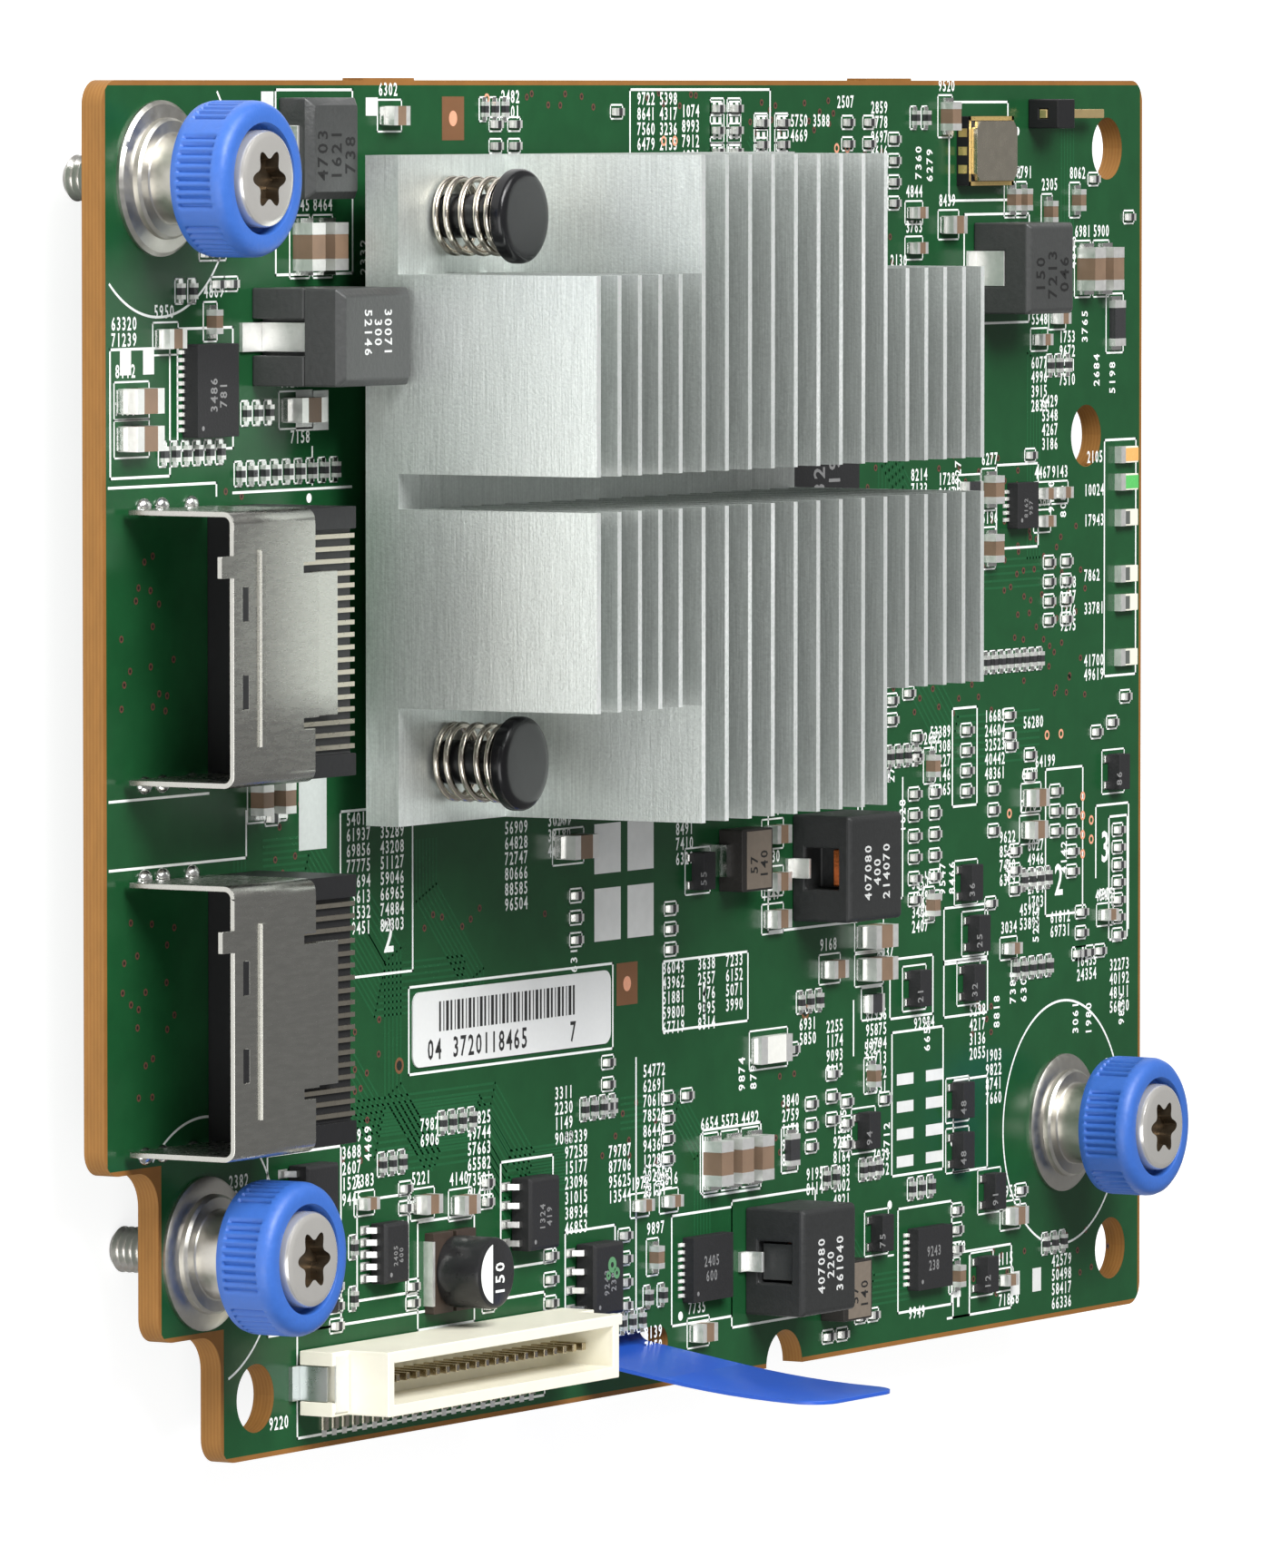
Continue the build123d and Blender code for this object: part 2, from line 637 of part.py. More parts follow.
def wire_blades():
    """One row of contact blades that stand in the shroud."""
    solids = []
    centre = wire_top + wire_width / 2
    floor = card_top + wire_floor
    first = wire_left + wire_first
    for k in range(wire_contacts):
        x = first + k * wire_pitch - wire_blade_width / 2
        y = centre - wire_blade_depth / 2
        blade = brick(x, y, wire_blade_width, wire_blade_depth, floor, wire_blade_top - wire_floor)
        solids.append(blade)
    return beside(solids)


# The pull strip
def strip_side(offset):
    """One side of the film as edges: flat under the card, a bend, a leaning run and a slow turn upright."""
    lean = radians(strip_lean)
    under = -card_thickness - strip_thickness / 2
    knee = slot_top + slot_width / 2 - strip_bend
    run = Line((knee - strip_bonded, under - offset), (knee, under - offset))
    bend = CenterArc((knee, under + strip_bend), strip_bend + offset, -90, 90 - strip_lean)
    foot = bend @ 1
    head = (foot.X + strip_straight * sin(lean), foot.Y + strip_straight * cos(lean))
    rise = strip_rise - (under + strip_bend) - strip_straight * cos(lean)
    turn = rise / sin(lean)
    middle = (head[0] - (turn + offset) * cos(lean), head[1] + (turn + offset) * sin(lean))
    return [run, bend, Line(foot, head), CenterArc(middle, turn + offset, -strip_lean, strip_lean)]


def pull_strip():
    half = strip_thickness / 2
    outer, inner = strip_side(half), strip_side(-half)
    ends = [Line(outer[0] @ 0, inner[0] @ 0), Line(outer[-1] @ 1, inner[-1] @ 1)]
    side = Plane(origin=spot(strip_left + strip_width, 0, card_top), x_dir=(0, -1, 0), z_dir=(-1, 0, 0))
    body = extrude(side * make_face(outer + ends + inner), strip_width)
    return fillet(body.edges().group_by(Axis.Z)[-1].filter_by(Axis.Y), strip_corner)


# The inductors
def bevelled(block, size):
    top = block.faces().sort_by(Axis.Z)[-1]
    return chamfer(top.edges(), size)


def low_inductor_core():
    left, top, length, width, height = low_inductor
    return bevelled(brick(left, top, length, width, card_top, height), core_bevel)


def tall_inductor_base():
    left, top, length, width, height = tall_inductor
    body = brick(left, top, length, width, card_top, tall_seam)
    for x in (left - 1, left + length - tall_recess):
        body -= brick(x, top + (width - tall_gap) / 2, tall_recess + 1, tall_gap, card_top, tall_seam)
    return body


def tall_inductor_cap():
    left, top, length, width, height = tall_inductor
    return bevelled(brick(left, top, length, width, card_top + tall_seam, height - tall_seam), core_bevel)


def edge_inductor_core():
    left, top, length, width, height = edge_inductor
    body = bevelled(brick(left, top, length, width, card_top, height), edge_bevel)
    pocket = edge_lead + 0.1
    strip = (width - pocket) / 2
    for x in (left - 1, left + length - lead_sheet - 0.05):
        body -= brick(x, top + strip, 1 + lead_sheet + 0.05, pocket, card_top, pocket)
    return body


def power_inductor_cores():
    length, width, height = power_size
    solids = []
    for left, top in power_inductors:
        body = bevelled(brick(left, top, length, width, card_top, height), power_bevel)
        window_y = top + (width - window_width) / 2
        window_z = card_top + window_bottom
        for x in (left - 1, left + length - window_depth):
            body -= brick(x, window_y, window_depth + 1, window_width, window_z, window_top - window_bottom)
        solids.append(body)
    return beside(solids)


def power_inductor_coils():
    """The ends of the flat wire coils, seen in the cores' windows."""
    length, width, height = power_size
    solids = []
    for left, top in power_inductors:
        window_y = top + (width - window_width) / 2
        z = card_top + window_bottom + coil_lift
        for x in (left + window_depth - coil_end - 0.1, left + length - window_depth + 0.1):
            solids.append(brick(x, window_y + 0.15, coil_end, window_width - 0.3, z, coil_height))
    return beside(solids)


def lead_clip(x, y, width, height, reach, way):
    """A strap that stands against a core's end and turns out onto its pad."""
    t = lead_sheet
    shape = [(0, 0), (0, height), (-t, height), (-t, t), (-reach, t), (-reach, 0)]
    return bent_strip(shape, x, y, card_top, way, width)


def inductor_leads():
    solids = []
    left, top, length, width, height = tall_inductor
    middle = top + width / 2
    inset = tall_recess - 0.1
    reach = inset + tall_pad
    solids.append(lead_clip(left + inset, middle, tall_lead, tall_seam - 0.05, reach, 1))
    solids.append(lead_clip(left + length - inset, middle, tall_lead, tall_seam - 0.05, reach, -1))
    left, top, length, width, height = edge_inductor
    middle = top + width / 2
    reach = lead_sheet + edge_pad
    solids.append(lead_clip(left + lead_sheet, middle, edge_lead, edge_lead, reach, 1))
    solids.append(lead_clip(left + length - lead_sheet, middle, edge_lead, edge_lead, reach, -1))
    left, top, length, width, height = low_inductor
    middle = top + width / 2
    solids.append(lead_clip(left - 0.02, middle, low_lead, low_lead_height, low_pad, 1))
    solids.append(lead_clip(left + length + 0.02, middle, low_lead, low_lead_height, low_pad, -1))
    length, width, height = power_size
    for left, top in power_inductors:
        middle = top + width / 2
        lead_height = window_bottom + power_lead_lift
        solids.append(lead_clip(left - 0.02, middle, power_lead, lead_height, power_pad, 1))
        solids.append(lead_clip(left + length + 0.02, middle, power_lead, lead_height, power_pad, -1))
    return beside(solids)


def drum_inductor_core():
    body = pillar(drum_radius, drum_base_height, drum_height - drum_base_height)
    body = chamfer(body.faces().sort_by(Axis.Z)[-1].edges(), drum_bevel)
    return Pos(*spot(drum_x, drum_y, card_top)) * body


def drum_inductor_base():
    half = drum_base / 2
    solids = []
    for x in (drum_x - half, drum_x + 0.2):
        solids.append(brick(x, drum_y - half, half - 0.2, drum_base, card_top, drum_base_height))
    return beside(solids)


# Packages
def leaded_bodies():
    solids = []
    for left, top, length, width, height, pitch in leaded_packages:
        body = brick(left, top, length, width, card_top + 0.1, height - 0.1)
        solids.append(chamfer(body.faces().sort_by(Axis.Z)[-1].edges(), 0.2))
    return beside(solids)


def package_legs():
    """Gull-wing legs, a row on each side of every leaded package."""
    solids = []
    for (left, top, length, width, height, pitch), legs in zip(leaded_packages, leg_counts):
        leg = min(leg_width, pitch * 0.5)
        mid = height * leg_exit
        shape = [(0, mid), (0, mid + leg_sheet), (-leg_reach, leg_sheet), (-leg_reach, 0)]
        for side_x, way in ((left, 1), (left + length, -1)):
            for k in range(legs):
                y = top + width / 2 + (k - (legs - 1) / 2) * pitch
                solids.append(bent_strip(shape, side_x, y, card_top, way, leg))
    return beside(solids)


def low_block(place):
    """A plain body that stands on the card."""
    left, top, length, width, height = place
    return brick(left, top, length, width, card_top, height)


def flat_bodies():
    return beside([low_block(place) for place in flat_packages])


def oscillator_body():
    return low_block(oscillator)


def oscillator_lid():
    left, top, length, width, height = oscillator
    inset = oscillator_lid_inset
    lid_z = card_top + height
    long_side, short_side = length - 2 * inset, width - 2 * inset
    lid = brick(left + inset, top + inset, long_side, short_side, lid_z, oscillator_lid_height)
    return chamfer(lid.edges().filter_by(Axis.Z), oscillator_lid_corner)


def tantalum_bodies():
    return beside([low_block(place) for place in tantalum_parts])


def transistor_bodies():
    return beside([chip(x, y, transistor_size, 0) for x, y in transistor_places])


def chip(x, y, size, turn):
    length, width, height = size
    if turn:
        length, width = width, length
    return brick(x - length / 2, y - width / 2, length, width, card_top, height)


def ceramic_capacitors():
    solids = [chip(x, y, large_chip, turn) for x, y, turn in large_capacitors]
    solids += [chip(x, y, middle_chip, turn) for x, y, turn in middle_capacitors]
    solids += [chip(x, y, small_chip, turn) for x, y, turn in small_capacitors]
    return beside(solids)


def chip_resistors():
    solids = []
    for x, y, count, step_x, step_y, turn in tiny_rows:
        solids += [chip(x + k * step_x, y + k * step_y, tiny_chip, turn) for k in range(count)]
    return beside(solids)


def fuse():
    return low_block(fuse_place)


def status_lamps():
    return beside([brick(x, y - lamp_width / 2, lamp_length, lamp_width, card_top, lamp_height)
                   for x, y in lamp_places])


def pin_header():
    body = brick(header_left, header_top, header_length, header_width, card_top, header_height)
    pin_y = header_top + header_width / 2
    hole = header_pin + 0.04
    hole_z = card_top + (header_height - hole) / 2
    return body - brick(header_left - 1, pin_y - hole / 2, header_length + 2, hole, hole_z, hole)


def header_pins():
    pin_y = header_top + header_width / 2
    z = card_top + header_height / 2 - header_pin / 2
    return brick(header_left, pin_y - header_pin / 2, header_pin_reach, header_pin, z, header_pin)


def serial_label():
    return low_block(label_place)


# The connector below the card
def host_connector():
    left, top = host_x - host_length / 2, host_y - host_width / 2
    body = brick(left, top, host_length, host_width, 0, stand_off)
    body = chamfer(body.edges().filter_by(Axis.Z), host_corner)
    inner_length, inner_width = host_length - 2 * host_wall, host_width - 2 * host_wall
    return body - brick(left + host_wall, top + host_wall, inner_length, inner_width, -1, host_recess + 1)


def host_contacts():
    """Each row of contact blades stands in the recess as one strip."""
    solids = []
    length = host_length - 2 * host_wall - 2 * host_end
    for k in range(host_rows):
        y = host_y + (k - (host_rows - 1) / 2) * host_pitch - host_blade / 2
        low = host_recess - host_blade_height
        solids.append(brick(host_x - length / 2, y, length, host_blade, low, host_blade_height))
    return beside(solids)


nodes = {}
nodes["circuit_board"] = circuit_board()
nodes["heatsink"] = heatsink()
nodes["controller_package"] = controller_package()
nodes["thermal_pad"] = thermal_pad()
for number, (x, y) in enumerate(pin_places(), 1):
    nodes[f"push_pin_{number}"] = push_pin(x, y)
    nodes[f"push_pin_spring_{number}"] = push_pin_spring(x, y)
for number, (x, y) in enumerate(screw_places, 1):
    nodes[f"screw_ferrule_{number}"] = ferrule(x, y)
    nodes[f"screw_knob_{number}"] = knob(x, y)
    nodes[f"captive_screw_{number}"] = screw(x, y)
    nodes[f"screw_spring_{number}"] = screw_spring(x, y)
for name, top in zip(("upper", "lower"), port_tops):
    nodes[f"drive_port_shell_{name}"] = port_shell(top)
    nodes[f"drive_port_housing_{name}"] = port_housing(top)
    nodes[f"drive_port_contacts_{name}"] = port_contacts(top)
nodes["wire_connector_housing"] = wire_housing()
nodes["wire_connector_contacts"] = wire_blades()
nodes["wire_connector_anchors"] = wire_anchors()
nodes["pull_strip"] = pull_strip()
nodes["low_inductor_core"] = low_inductor_core()
nodes["tall_inductor_base"] = tall_inductor_base()
nodes["tall_inductor_cap"] = tall_inductor_cap()
nodes["edge_inductor_core"] = edge_inductor_core()
nodes["power_inductor_cores"] = power_inductor_cores()
nodes["power_inductor_coils"] = power_inductor_coils()
nodes["inductor_leads"] = inductor_leads()
nodes["drum_inductor_core"] = drum_inductor_core()
nodes["drum_inductor_base"] = drum_inductor_base()
nodes["leaded_packages"] = leaded_bodies()
nodes["package_legs"] = package_legs()
nodes["flat_packages"] = flat_bodies()
nodes["oscillator_body"] = oscillator_body()
nodes["oscillator_lid"] = oscillator_lid()
nodes["tantalum_capacitors"] = tantalum_bodies()
nodes["transistors"] = transistor_bodies()
nodes["ceramic_capacitors"] = ceramic_capacitors()
nodes["chip_resistors"] = chip_resistors()
nodes["fuse"] = fuse()
nodes["status_lamps"] = status_lamps()
nodes["pin_header"] = pin_header()
nodes["header_pin"] = header_pins()
nodes["serial_label"] = serial_label()
nodes["host_connector"] = host_connector()
nodes["host_contacts"] = host_contacts()

for name, shape in nodes.items():
    export_step(shape, f"parts/{name}.step")
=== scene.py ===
from math import atan2, cos, hypot, pi, radians, sin

import bmesh
import bpy
from mathutils import Matrix, Vector


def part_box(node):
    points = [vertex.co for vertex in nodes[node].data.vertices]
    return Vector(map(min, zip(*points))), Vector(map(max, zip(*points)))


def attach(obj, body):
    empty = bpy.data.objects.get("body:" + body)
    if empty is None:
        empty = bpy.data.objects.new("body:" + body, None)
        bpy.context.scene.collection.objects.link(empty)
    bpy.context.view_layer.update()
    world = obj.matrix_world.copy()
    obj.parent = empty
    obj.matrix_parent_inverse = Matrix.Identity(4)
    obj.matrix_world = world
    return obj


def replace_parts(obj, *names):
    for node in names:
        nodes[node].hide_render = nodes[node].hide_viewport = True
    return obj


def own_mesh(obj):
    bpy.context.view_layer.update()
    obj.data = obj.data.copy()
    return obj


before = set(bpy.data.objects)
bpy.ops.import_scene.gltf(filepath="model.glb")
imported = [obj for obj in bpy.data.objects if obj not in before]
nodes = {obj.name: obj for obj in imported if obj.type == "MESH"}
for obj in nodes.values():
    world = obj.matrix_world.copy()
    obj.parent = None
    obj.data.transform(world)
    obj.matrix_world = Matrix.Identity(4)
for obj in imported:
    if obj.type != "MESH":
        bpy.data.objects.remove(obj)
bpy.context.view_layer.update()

# Circuit board
# A laminate of glass cloth and resin under a glossy green solder mask. The mask stops short of the routed
# edge, so a tan rim shows all round, and the edge itself shows the laminate's layers.
mm = 0.001
board_low, board_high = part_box("circuit_board")
rim = 0.33 * mm
stub = 0.15 * mm
mask_left = board_low.x + rim
mask_top = board_high.y - stub - rim
mask_face = board_high.z
mask_green = (0.010, 0.068, 0.022)
laminate_tan = (0.285, 0.142, 0.038)
layer_brown = (0.22, 0.085, 0.02)
layer_pitch = 0.26 * mm
inner_steps = ((6.3, 69.27), (13.7, 80.47))
weld_reach = 0.0005 * mm


def card_point(x, y, z=0.0):
    """A point in metres from millimetres right of and below the mask's top left corner and above the mask."""
    return Vector((mask_left + x * mm, mask_top - y * mm, mask_face + z * mm))


def on_card(point):
    """The millimetres right of and below the mask's top left corner and above the mask, from a point."""
    return (point.x - mask_left) / mm, (mask_top - point.y) / mm, (point.z - mask_face) / mm


def new_finish(name, colour, roughness, metallic=0.0):
    """A material with its tree and its Principled shader."""
    material = bpy.data.materials.new(name)
    material.use_nodes = True
    tree = material.node_tree
    shader = tree.nodes["Principled BSDF"]
    shader.inputs["Base Color"].default_value = (*colour, 1.0)
    shader.inputs["Roughness"].default_value = roughness
    shader.inputs["Metallic"].default_value = metallic
    return material, tree, shader


def maths(tree, operation, first, second=0.0, third=0.0):
    """A math node on sockets or plain numbers."""
    node = tree.nodes.new("ShaderNodeMath")
    node.operation = operation
    for socket, value in zip(node.inputs, (first, second, third)):
        if isinstance(value, (int, float)):
            socket.default_value = value
        else:
            tree.links.new(value, socket)
    return node.outputs[0]


def mixed(tree, share, first, second):
    """A mix of two colours, each a socket or a plain colour."""
    node = tree.nodes.new("ShaderNodeMix")
    node.data_type = "RGBA"
    for socket, value in ((node.inputs[0], share), (node.inputs[6], first), (node.inputs[7], second)):
        if isinstance(value, (int, float)):
            socket.default_value = value
        elif isinstance(value, tuple):
            socket.default_value = (*value, 1.0)
        else:
            tree.links.new(value, socket)
    return node.outputs[2]


def build_uneven_group():
    """Colour, gloss and relief that vary a little over a surface, with the cells' size given by axis."""
    group = bpy.data.node_groups.new("uneven_surface", "ShaderNodeTree")
    taken = (("Colour", "NodeSocketColor"), ("Spread", "NodeSocketFloat"), ("Cells", "NodeSocketVector"),
             ("Roughness", "NodeSocketFloat"), ("Rough spread", "NodeSocketFloat"),
             ("Relief", "NodeSocketFloat"))
    for label, kind in taken:
        group.interface.new_socket(label, in_out="INPUT", socket_type=kind)
    put_out = (("Colour", "NodeSocketColor"), ("Roughness", "NodeSocketFloat"),
               ("Normal", "NodeSocketVector"))
    for label, kind in put_out:
        group.interface.new_socket(label, in_out="OUTPUT", socket_type=kind)
    given = group.nodes.new("NodeGroupInput")
    result = group.nodes.new("NodeGroupOutput")
    place = group.nodes.new("ShaderNodeTexCoord")
    stretch = group.nodes.new("ShaderNodeVectorMath")
    stretch.operation = "MULTIPLY"
    noise = group.nodes.new("ShaderNodeTexNoise")
    noise.inputs["Scale"].default_value = 1 / mm
    noise.inputs["Detail"].default_value = 5.0
    noise.inputs["Roughness"].default_value = 0.6
    group.links.new(place.outputs["Object"], stretch.inputs[0])
    group.links.new(given.outputs["Cells"], stretch.inputs[1])
    group.links.new(stretch.outputs[0], noise.inputs["Vector"])
    swing = maths(group, "MULTIPLY_ADD", noise.outputs[0], 2.0, -1.0)
    gain = maths(group, "MULTIPLY_ADD", swing, given.outputs["Spread"], 1.0)
    tint = group.nodes.new("ShaderNodeVectorMath")
    tint.operation = "SCALE"
    group.links.new(given.outputs["Colour"], tint.inputs[0])
    group.links.new(gain, tint.inputs["Scale"])
    group.links.new(tint.outputs[0], result.inputs["Colour"])
    gloss = maths(group, "MULTIPLY_ADD", swing, given.outputs["Rough spread"], given.outputs["Roughness"])
    group.links.new(gloss, result.inputs["Roughness"])
    bump = group.nodes.new("ShaderNodeBump")
    bump.inputs["Distance"].default_value = 0.1 * mm
    group.links.new(given.outputs["Relief"], bump.inputs["Strength"])
    group.links.new(noise.outputs[0], bump.inputs["Height"])
    group.links.new(bump.outputs[0], result.inputs["Normal"])
    return group


uneven_group = build_uneven_group()


def make_uneven(tree, shader, colour, spread=0.12, cells=(1.0, 1.0, 1.0), roughness=0.5, rough_spread=0.1,
                relief=0.1):
    """Lays the uneven surface under a shader. The colour is a plain colour or a socket."""
    node = tree.nodes.new("ShaderNodeGroup")
    node.node_tree = uneven_group
    if isinstance(colour, tuple):
        node.inputs["Colour"].default_value = (*colour, 1.0)
    else:
        tree.links.new(colour, node.inputs["Colour"])
    node.inputs["Spread"].default_value = spread
    node.inputs["Cells"].default_value = cells
    node.inputs["Roughness"].default_value = roughness
    node.inputs["Rough spread"].default_value = rough_spread
    node.inputs["Relief"].default_value = relief
    tree.links.new(node.outputs["Colour"], shader.inputs["Base Color"])
    tree.links.new(node.outputs["Roughness"], shader.inputs["Roughness"])
    tree.links.new(node.outputs["Normal"], shader.inputs["Normal"])
    return node


def board_finish():
    """Green mask on the faces, bare laminate on the rim and the edges."""
    material, tree, shader = new_finish("mask_over_laminate", mask_green, 0.3)
    place = tree.nodes.new("ShaderNodeTexCoord")
    split = tree.nodes.new("ShaderNodeSeparateXYZ")
    tree.links.new(place.outputs["Object"], split.inputs[0])
    x, y, z = split.outputs
    bare = maths(tree, "LESS_THAN", x, mask_left)
    for operation, socket, limit in (("GREATER_THAN", x, board_high.x - rim), ("GREATER_THAN", y, mask_top),
                                     ("LESS_THAN", y, board_low.y + rim)):
        bare = maths(tree, "MAXIMUM", bare, maths(tree, operation, socket, limit))
    for step_x, step_y in inner_steps:
        corner = card_point(step_x, step_y)
        left_of, below = maths(tree, "LESS_THAN", x, corner.x), maths(tree, "LESS_THAN", y, corner.y)
        beside = maths(tree, "MULTIPLY", left_of, below)
        bare = maths(tree, "MAXIMUM", bare, beside)
    facing = tree.nodes.new("ShaderNodeNewGeometry")
    normal = tree.nodes.new("ShaderNodeSeparateXYZ")
    tree.links.new(facing.outputs["Normal"], normal.inputs[0])
    edge = maths(tree, "LESS_THAN", maths(tree, "ABSOLUTE", normal.outputs[2]), 0.5)
    bare = maths(tree, "MAXIMUM", bare, edge)
    layers = maths(tree, "SINE", maths(tree, "MULTIPLY", z, 2 * pi / layer_pitch))
    layer_share = maths(tree, "MULTIPLY_ADD", layers, 0.25, 0.3)
    laminate = mixed(tree, layer_share, laminate_tan, layer_brown)
    colour = mixed(tree, bare, mask_green, laminate)
    node = make_uneven(tree, shader, colour, spread=0.22, cells=(0.35, 0.35, 2.0), rough_spread=0.05,
                       relief=0.05)
    gloss = maths(tree, "MULTIPLY_ADD", bare, 0.4, 0.22)
    tree.links.new(gloss, node.inputs["Roughness"])
    shader.inputs["Specular IOR Level"].default_value = 0.2
    return material


def dress(node, material, bevel=0.0):
    """Gives a CAD node its finish, and a fine bevel where its edges catch the light."""
    thing = nodes[node]
    thing.data.materials.clear()
    thing.data.materials.append(material)
    if bevel:
        weld = thing.modifiers.new("weld", "WELD")
        weld.merge_threshold = weld_reach
        cut = thing.modifiers.new("bevel", "BEVEL")
        cut.width = bevel * mm
        cut.segments = 2
        cut.limit_method = "ANGLE"
        cut.angle_limit = radians(35)
        cut.use_clamp_overlap = True


dress("circuit_board", board_finish())

# Tracks and vias
# Copper tracks and plated holes under the mask, where the green is a shade lighter and stands a little proud.
# They run in bundles with bends of 45 degrees, as a router lays them.
track_bundles = [
    ((18.6, 49.0), [(6.0, 0.0), (9.0, 9.0), (10.0, 0.0)], 9, 0.42),
    ((19.0, 60.5), [(7.5, 0.0), (7.0, 7.0), (12.0, 0.0), (4.0, 4.0), (9.0, 0.0)], 8, 0.45),
    ((36.5, 69.5), [(9.0, 0.0), (6.0, 6.0), (4.0, 0.0)], 6, 0.45),
    ((40.0, 50.0), [(0.0, 3.0), (6.0, 6.0), (0.0, 5.0)], 7, 0.42),
    ((97.0, 17.0), [(6.0, 6.0), (0.0, 14.0), (8.0, 8.0), (12.0, 0.0)], 8, 0.5),
    ((100.0, 24.0), [(10.0, 10.0), (13.0, 0.0)], 5, 0.5),
    ((128.0, 3.0), [(0.0, 12.0), (-5.0, 5.0), (0.0, 14.0)], 5, 0.45),
    ((64.0, 69.0), [(8.0, 0.0), (4.0, 4.0), (0.0, 7.0)], 6, 0.42),
    ((27.5, 66.8), [(20.0, 0.0), (5.0, 5.0), (6.0, 0.0)], 6, 0.45),
    ((30.5, 52.0), [(5.0, 5.0), (0.0, 9.0), (5.0, 5.0)], 5, 0.5),
    ((82.0, 3.0), [(5.0, 5.0), (9.0, 0.0)], 4, 0.42),
    ((93.0, 78.0), [(6.0, 6.0), (5.0, 0.0)], 6, 0.42),
    ((16.4, 50.0), [(0.0, 19.0)], 4, 0.45),
]
track_width = 0.17


def shifted_run(start, moves, shift):
    """The points of one track of a bundle, beside the first by shift, with its bends kept parallel."""
    points = [start]
    for dx, dy in moves:
        points.append((points[-1][0] + dx, points[-1][1] + dy))
    sides = []
    for dx, dy in moves:
        reach = hypot(dx, dy)
        sides.append((-dy / reach, dx / reach))
    result = []
    for k, (x, y) in enumerate(points):
        before = sides[max(k - 1, 0)]
        after = sides[min(k, len(sides) - 1)]
        share = shift / (1 + before[0] * after[0] + before[1] * after[1])
        result.append((x + (before[0] + after[0]) * share, y + (before[1] + after[1]) * share))
    return result


def finish(name, colour, roughness=0.5, metallic=0.0, specular=0.5, **uneven):
    """A finished material of one colour with a fine unevenness."""
    material, tree, shader = new_finish(name, colour, roughness, metallic)
    shader.inputs["Specular IOR Level"].default_value = specular
    make_uneven(tree, shader, colour, roughness=roughness, **uneven)
    return material


def piece(name, mesh, material, body="card", smooth=None):
    """Turns a finished bmesh into a piece that rides on a body."""
    data = bpy.data.meshes.new(name)
    mesh.to_mesh(data)
    mesh.free()
    thing = bpy.data.objects.new(name, data)
    bpy.context.scene.collection.objects.link(thing)
    data.materials.append(material)
    if smooth:
        data.shade_smooth()
        data.set_sharp_from_angle(angle=radians(smooth))
    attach(thing, body)
    return thing


def patch(mesh, x, y, length, width, z=0.012, turn=0.0):
    """A flat rectangle of print or metal on the mask."""
    size = Matrix.Diagonal((length * mm, width * mm, 1.0, 1.0))
    matrix = Matrix.Translation(card_point(x, y, z)) @ Matrix.Rotation(radians(turn), 4, "Z") @ size
    bmesh.ops.create_grid(mesh, x_segments=1, y_segments=1, size=0.5, matrix=matrix)


def line(mesh, x1, y1, x2, y2, width, z=0.012):
    """A straight printed line."""
    length = hypot(x2 - x1, y2 - y1) + width
    patch(mesh, (x1 + x2) / 2, (y1 + y2) / 2, length, width, z, -atan2(y2 - y1, x2 - x1) * 180 / pi)


def disc(mesh, x, y, radius, z=0.012, segments=12):
    """A flat disc on the mask."""
    bmesh.ops.create_circle(mesh, cap_ends=True, segments=segments, radius=radius * mm,
                            matrix=Matrix.Translation(card_point(x, y, z)))


def face_up(mesh):
    """Turns every flat face of print upwards."""
    mesh.normal_update()
    low = [f for f in mesh.faces if f.normal.z < 0]
    bmesh.ops.reverse_faces(mesh, faces=low)


tracks = bmesh.new()
for start, moves, count, pitch in track_bundles:
    for k in range(count):
        run = shifted_run(start, moves, k * pitch)
        for (x1, y1), (x2, y2) in zip(run, run[1:]):
            line(tracks, x1, y1, x2, y2, track_width, 0.006)
face_up(tracks)
track_green = finish("mask_over_copper", (0.013, 0.092, 0.032), 0.25, spread=0.1, relief=0.0, specular=0.2)
piece("copper_tracks", tracks, track_green)

via_fields = [
    (98.5, 27.0, 130.0, 46.0, 1.9), (19.0, 46.8, 26.0, 58.5, 1.5), (38.0, 55.5, 56.0, 58.5, 1.6),
    (60.5, 46.0, 74.0, 49.0, 1.4), (2.2, 30.0, 10.5, 43.0, 1.7), (2.2, 54.0, 10.5, 67.0, 1.7),
    (112.0, 66.0, 118.0, 70.0, 1.4), (60.0, 69.5, 72.0, 75.0, 1.8), (97.0, 4.5, 103.5, 24.0, 1.5),
    (120.0, 32.0, 132.0, 48.0, 2.3), (84.0, 69.5, 90.0, 76.0, 1.6), (112.0, 84.0, 137.0, 88.5, 2.1),
    (80.0, 1.5, 96.0, 4.3, 1.35), (47.0, 1.0, 76.0, 3.8, 1.45), (28.0, 62.0, 35.0, 73.0, 1.5),
    (14.0, 26.5, 17.5, 44.0, 0.9),
]
via_rings = bmesh.new()
via_holes = bmesh.new()
count = 0
for x1, y1, x2, y2, pitch in via_fields:
    for i in range(int((x2 - x1) / pitch)):
        for j in range(int((y2 - y1) / pitch)):
            count += 1
            if (count * 7919) % 11 < 4:
                continue
            x = x1 + (i + 0.35 * sin(count * 2.1)) * pitch
            y = y1 + (j + 0.35 * cos(count * 1.7)) * pitch
            disc(via_rings, x, y, 0.25, 0.008, 8)
            disc(via_holes, x, y, 0.13, 0.010, 6)
face_up(via_rings)
face_up(via_holes)
via_copper = finish("via_copper", (0.125, 0.052, 0.036), 0.4, relief=0.0, specular=0.2)
piece("via_rings", via_rings, via_copper)
# The near-black discs in the via holes and the bare holes are painted shade for the holes' depth.
hole_painted_shade = finish("via_hole", (0.004, 0.012, 0.006), 0.6, relief=0.0)
piece("via_holes", via_holes, hole_painted_shade)

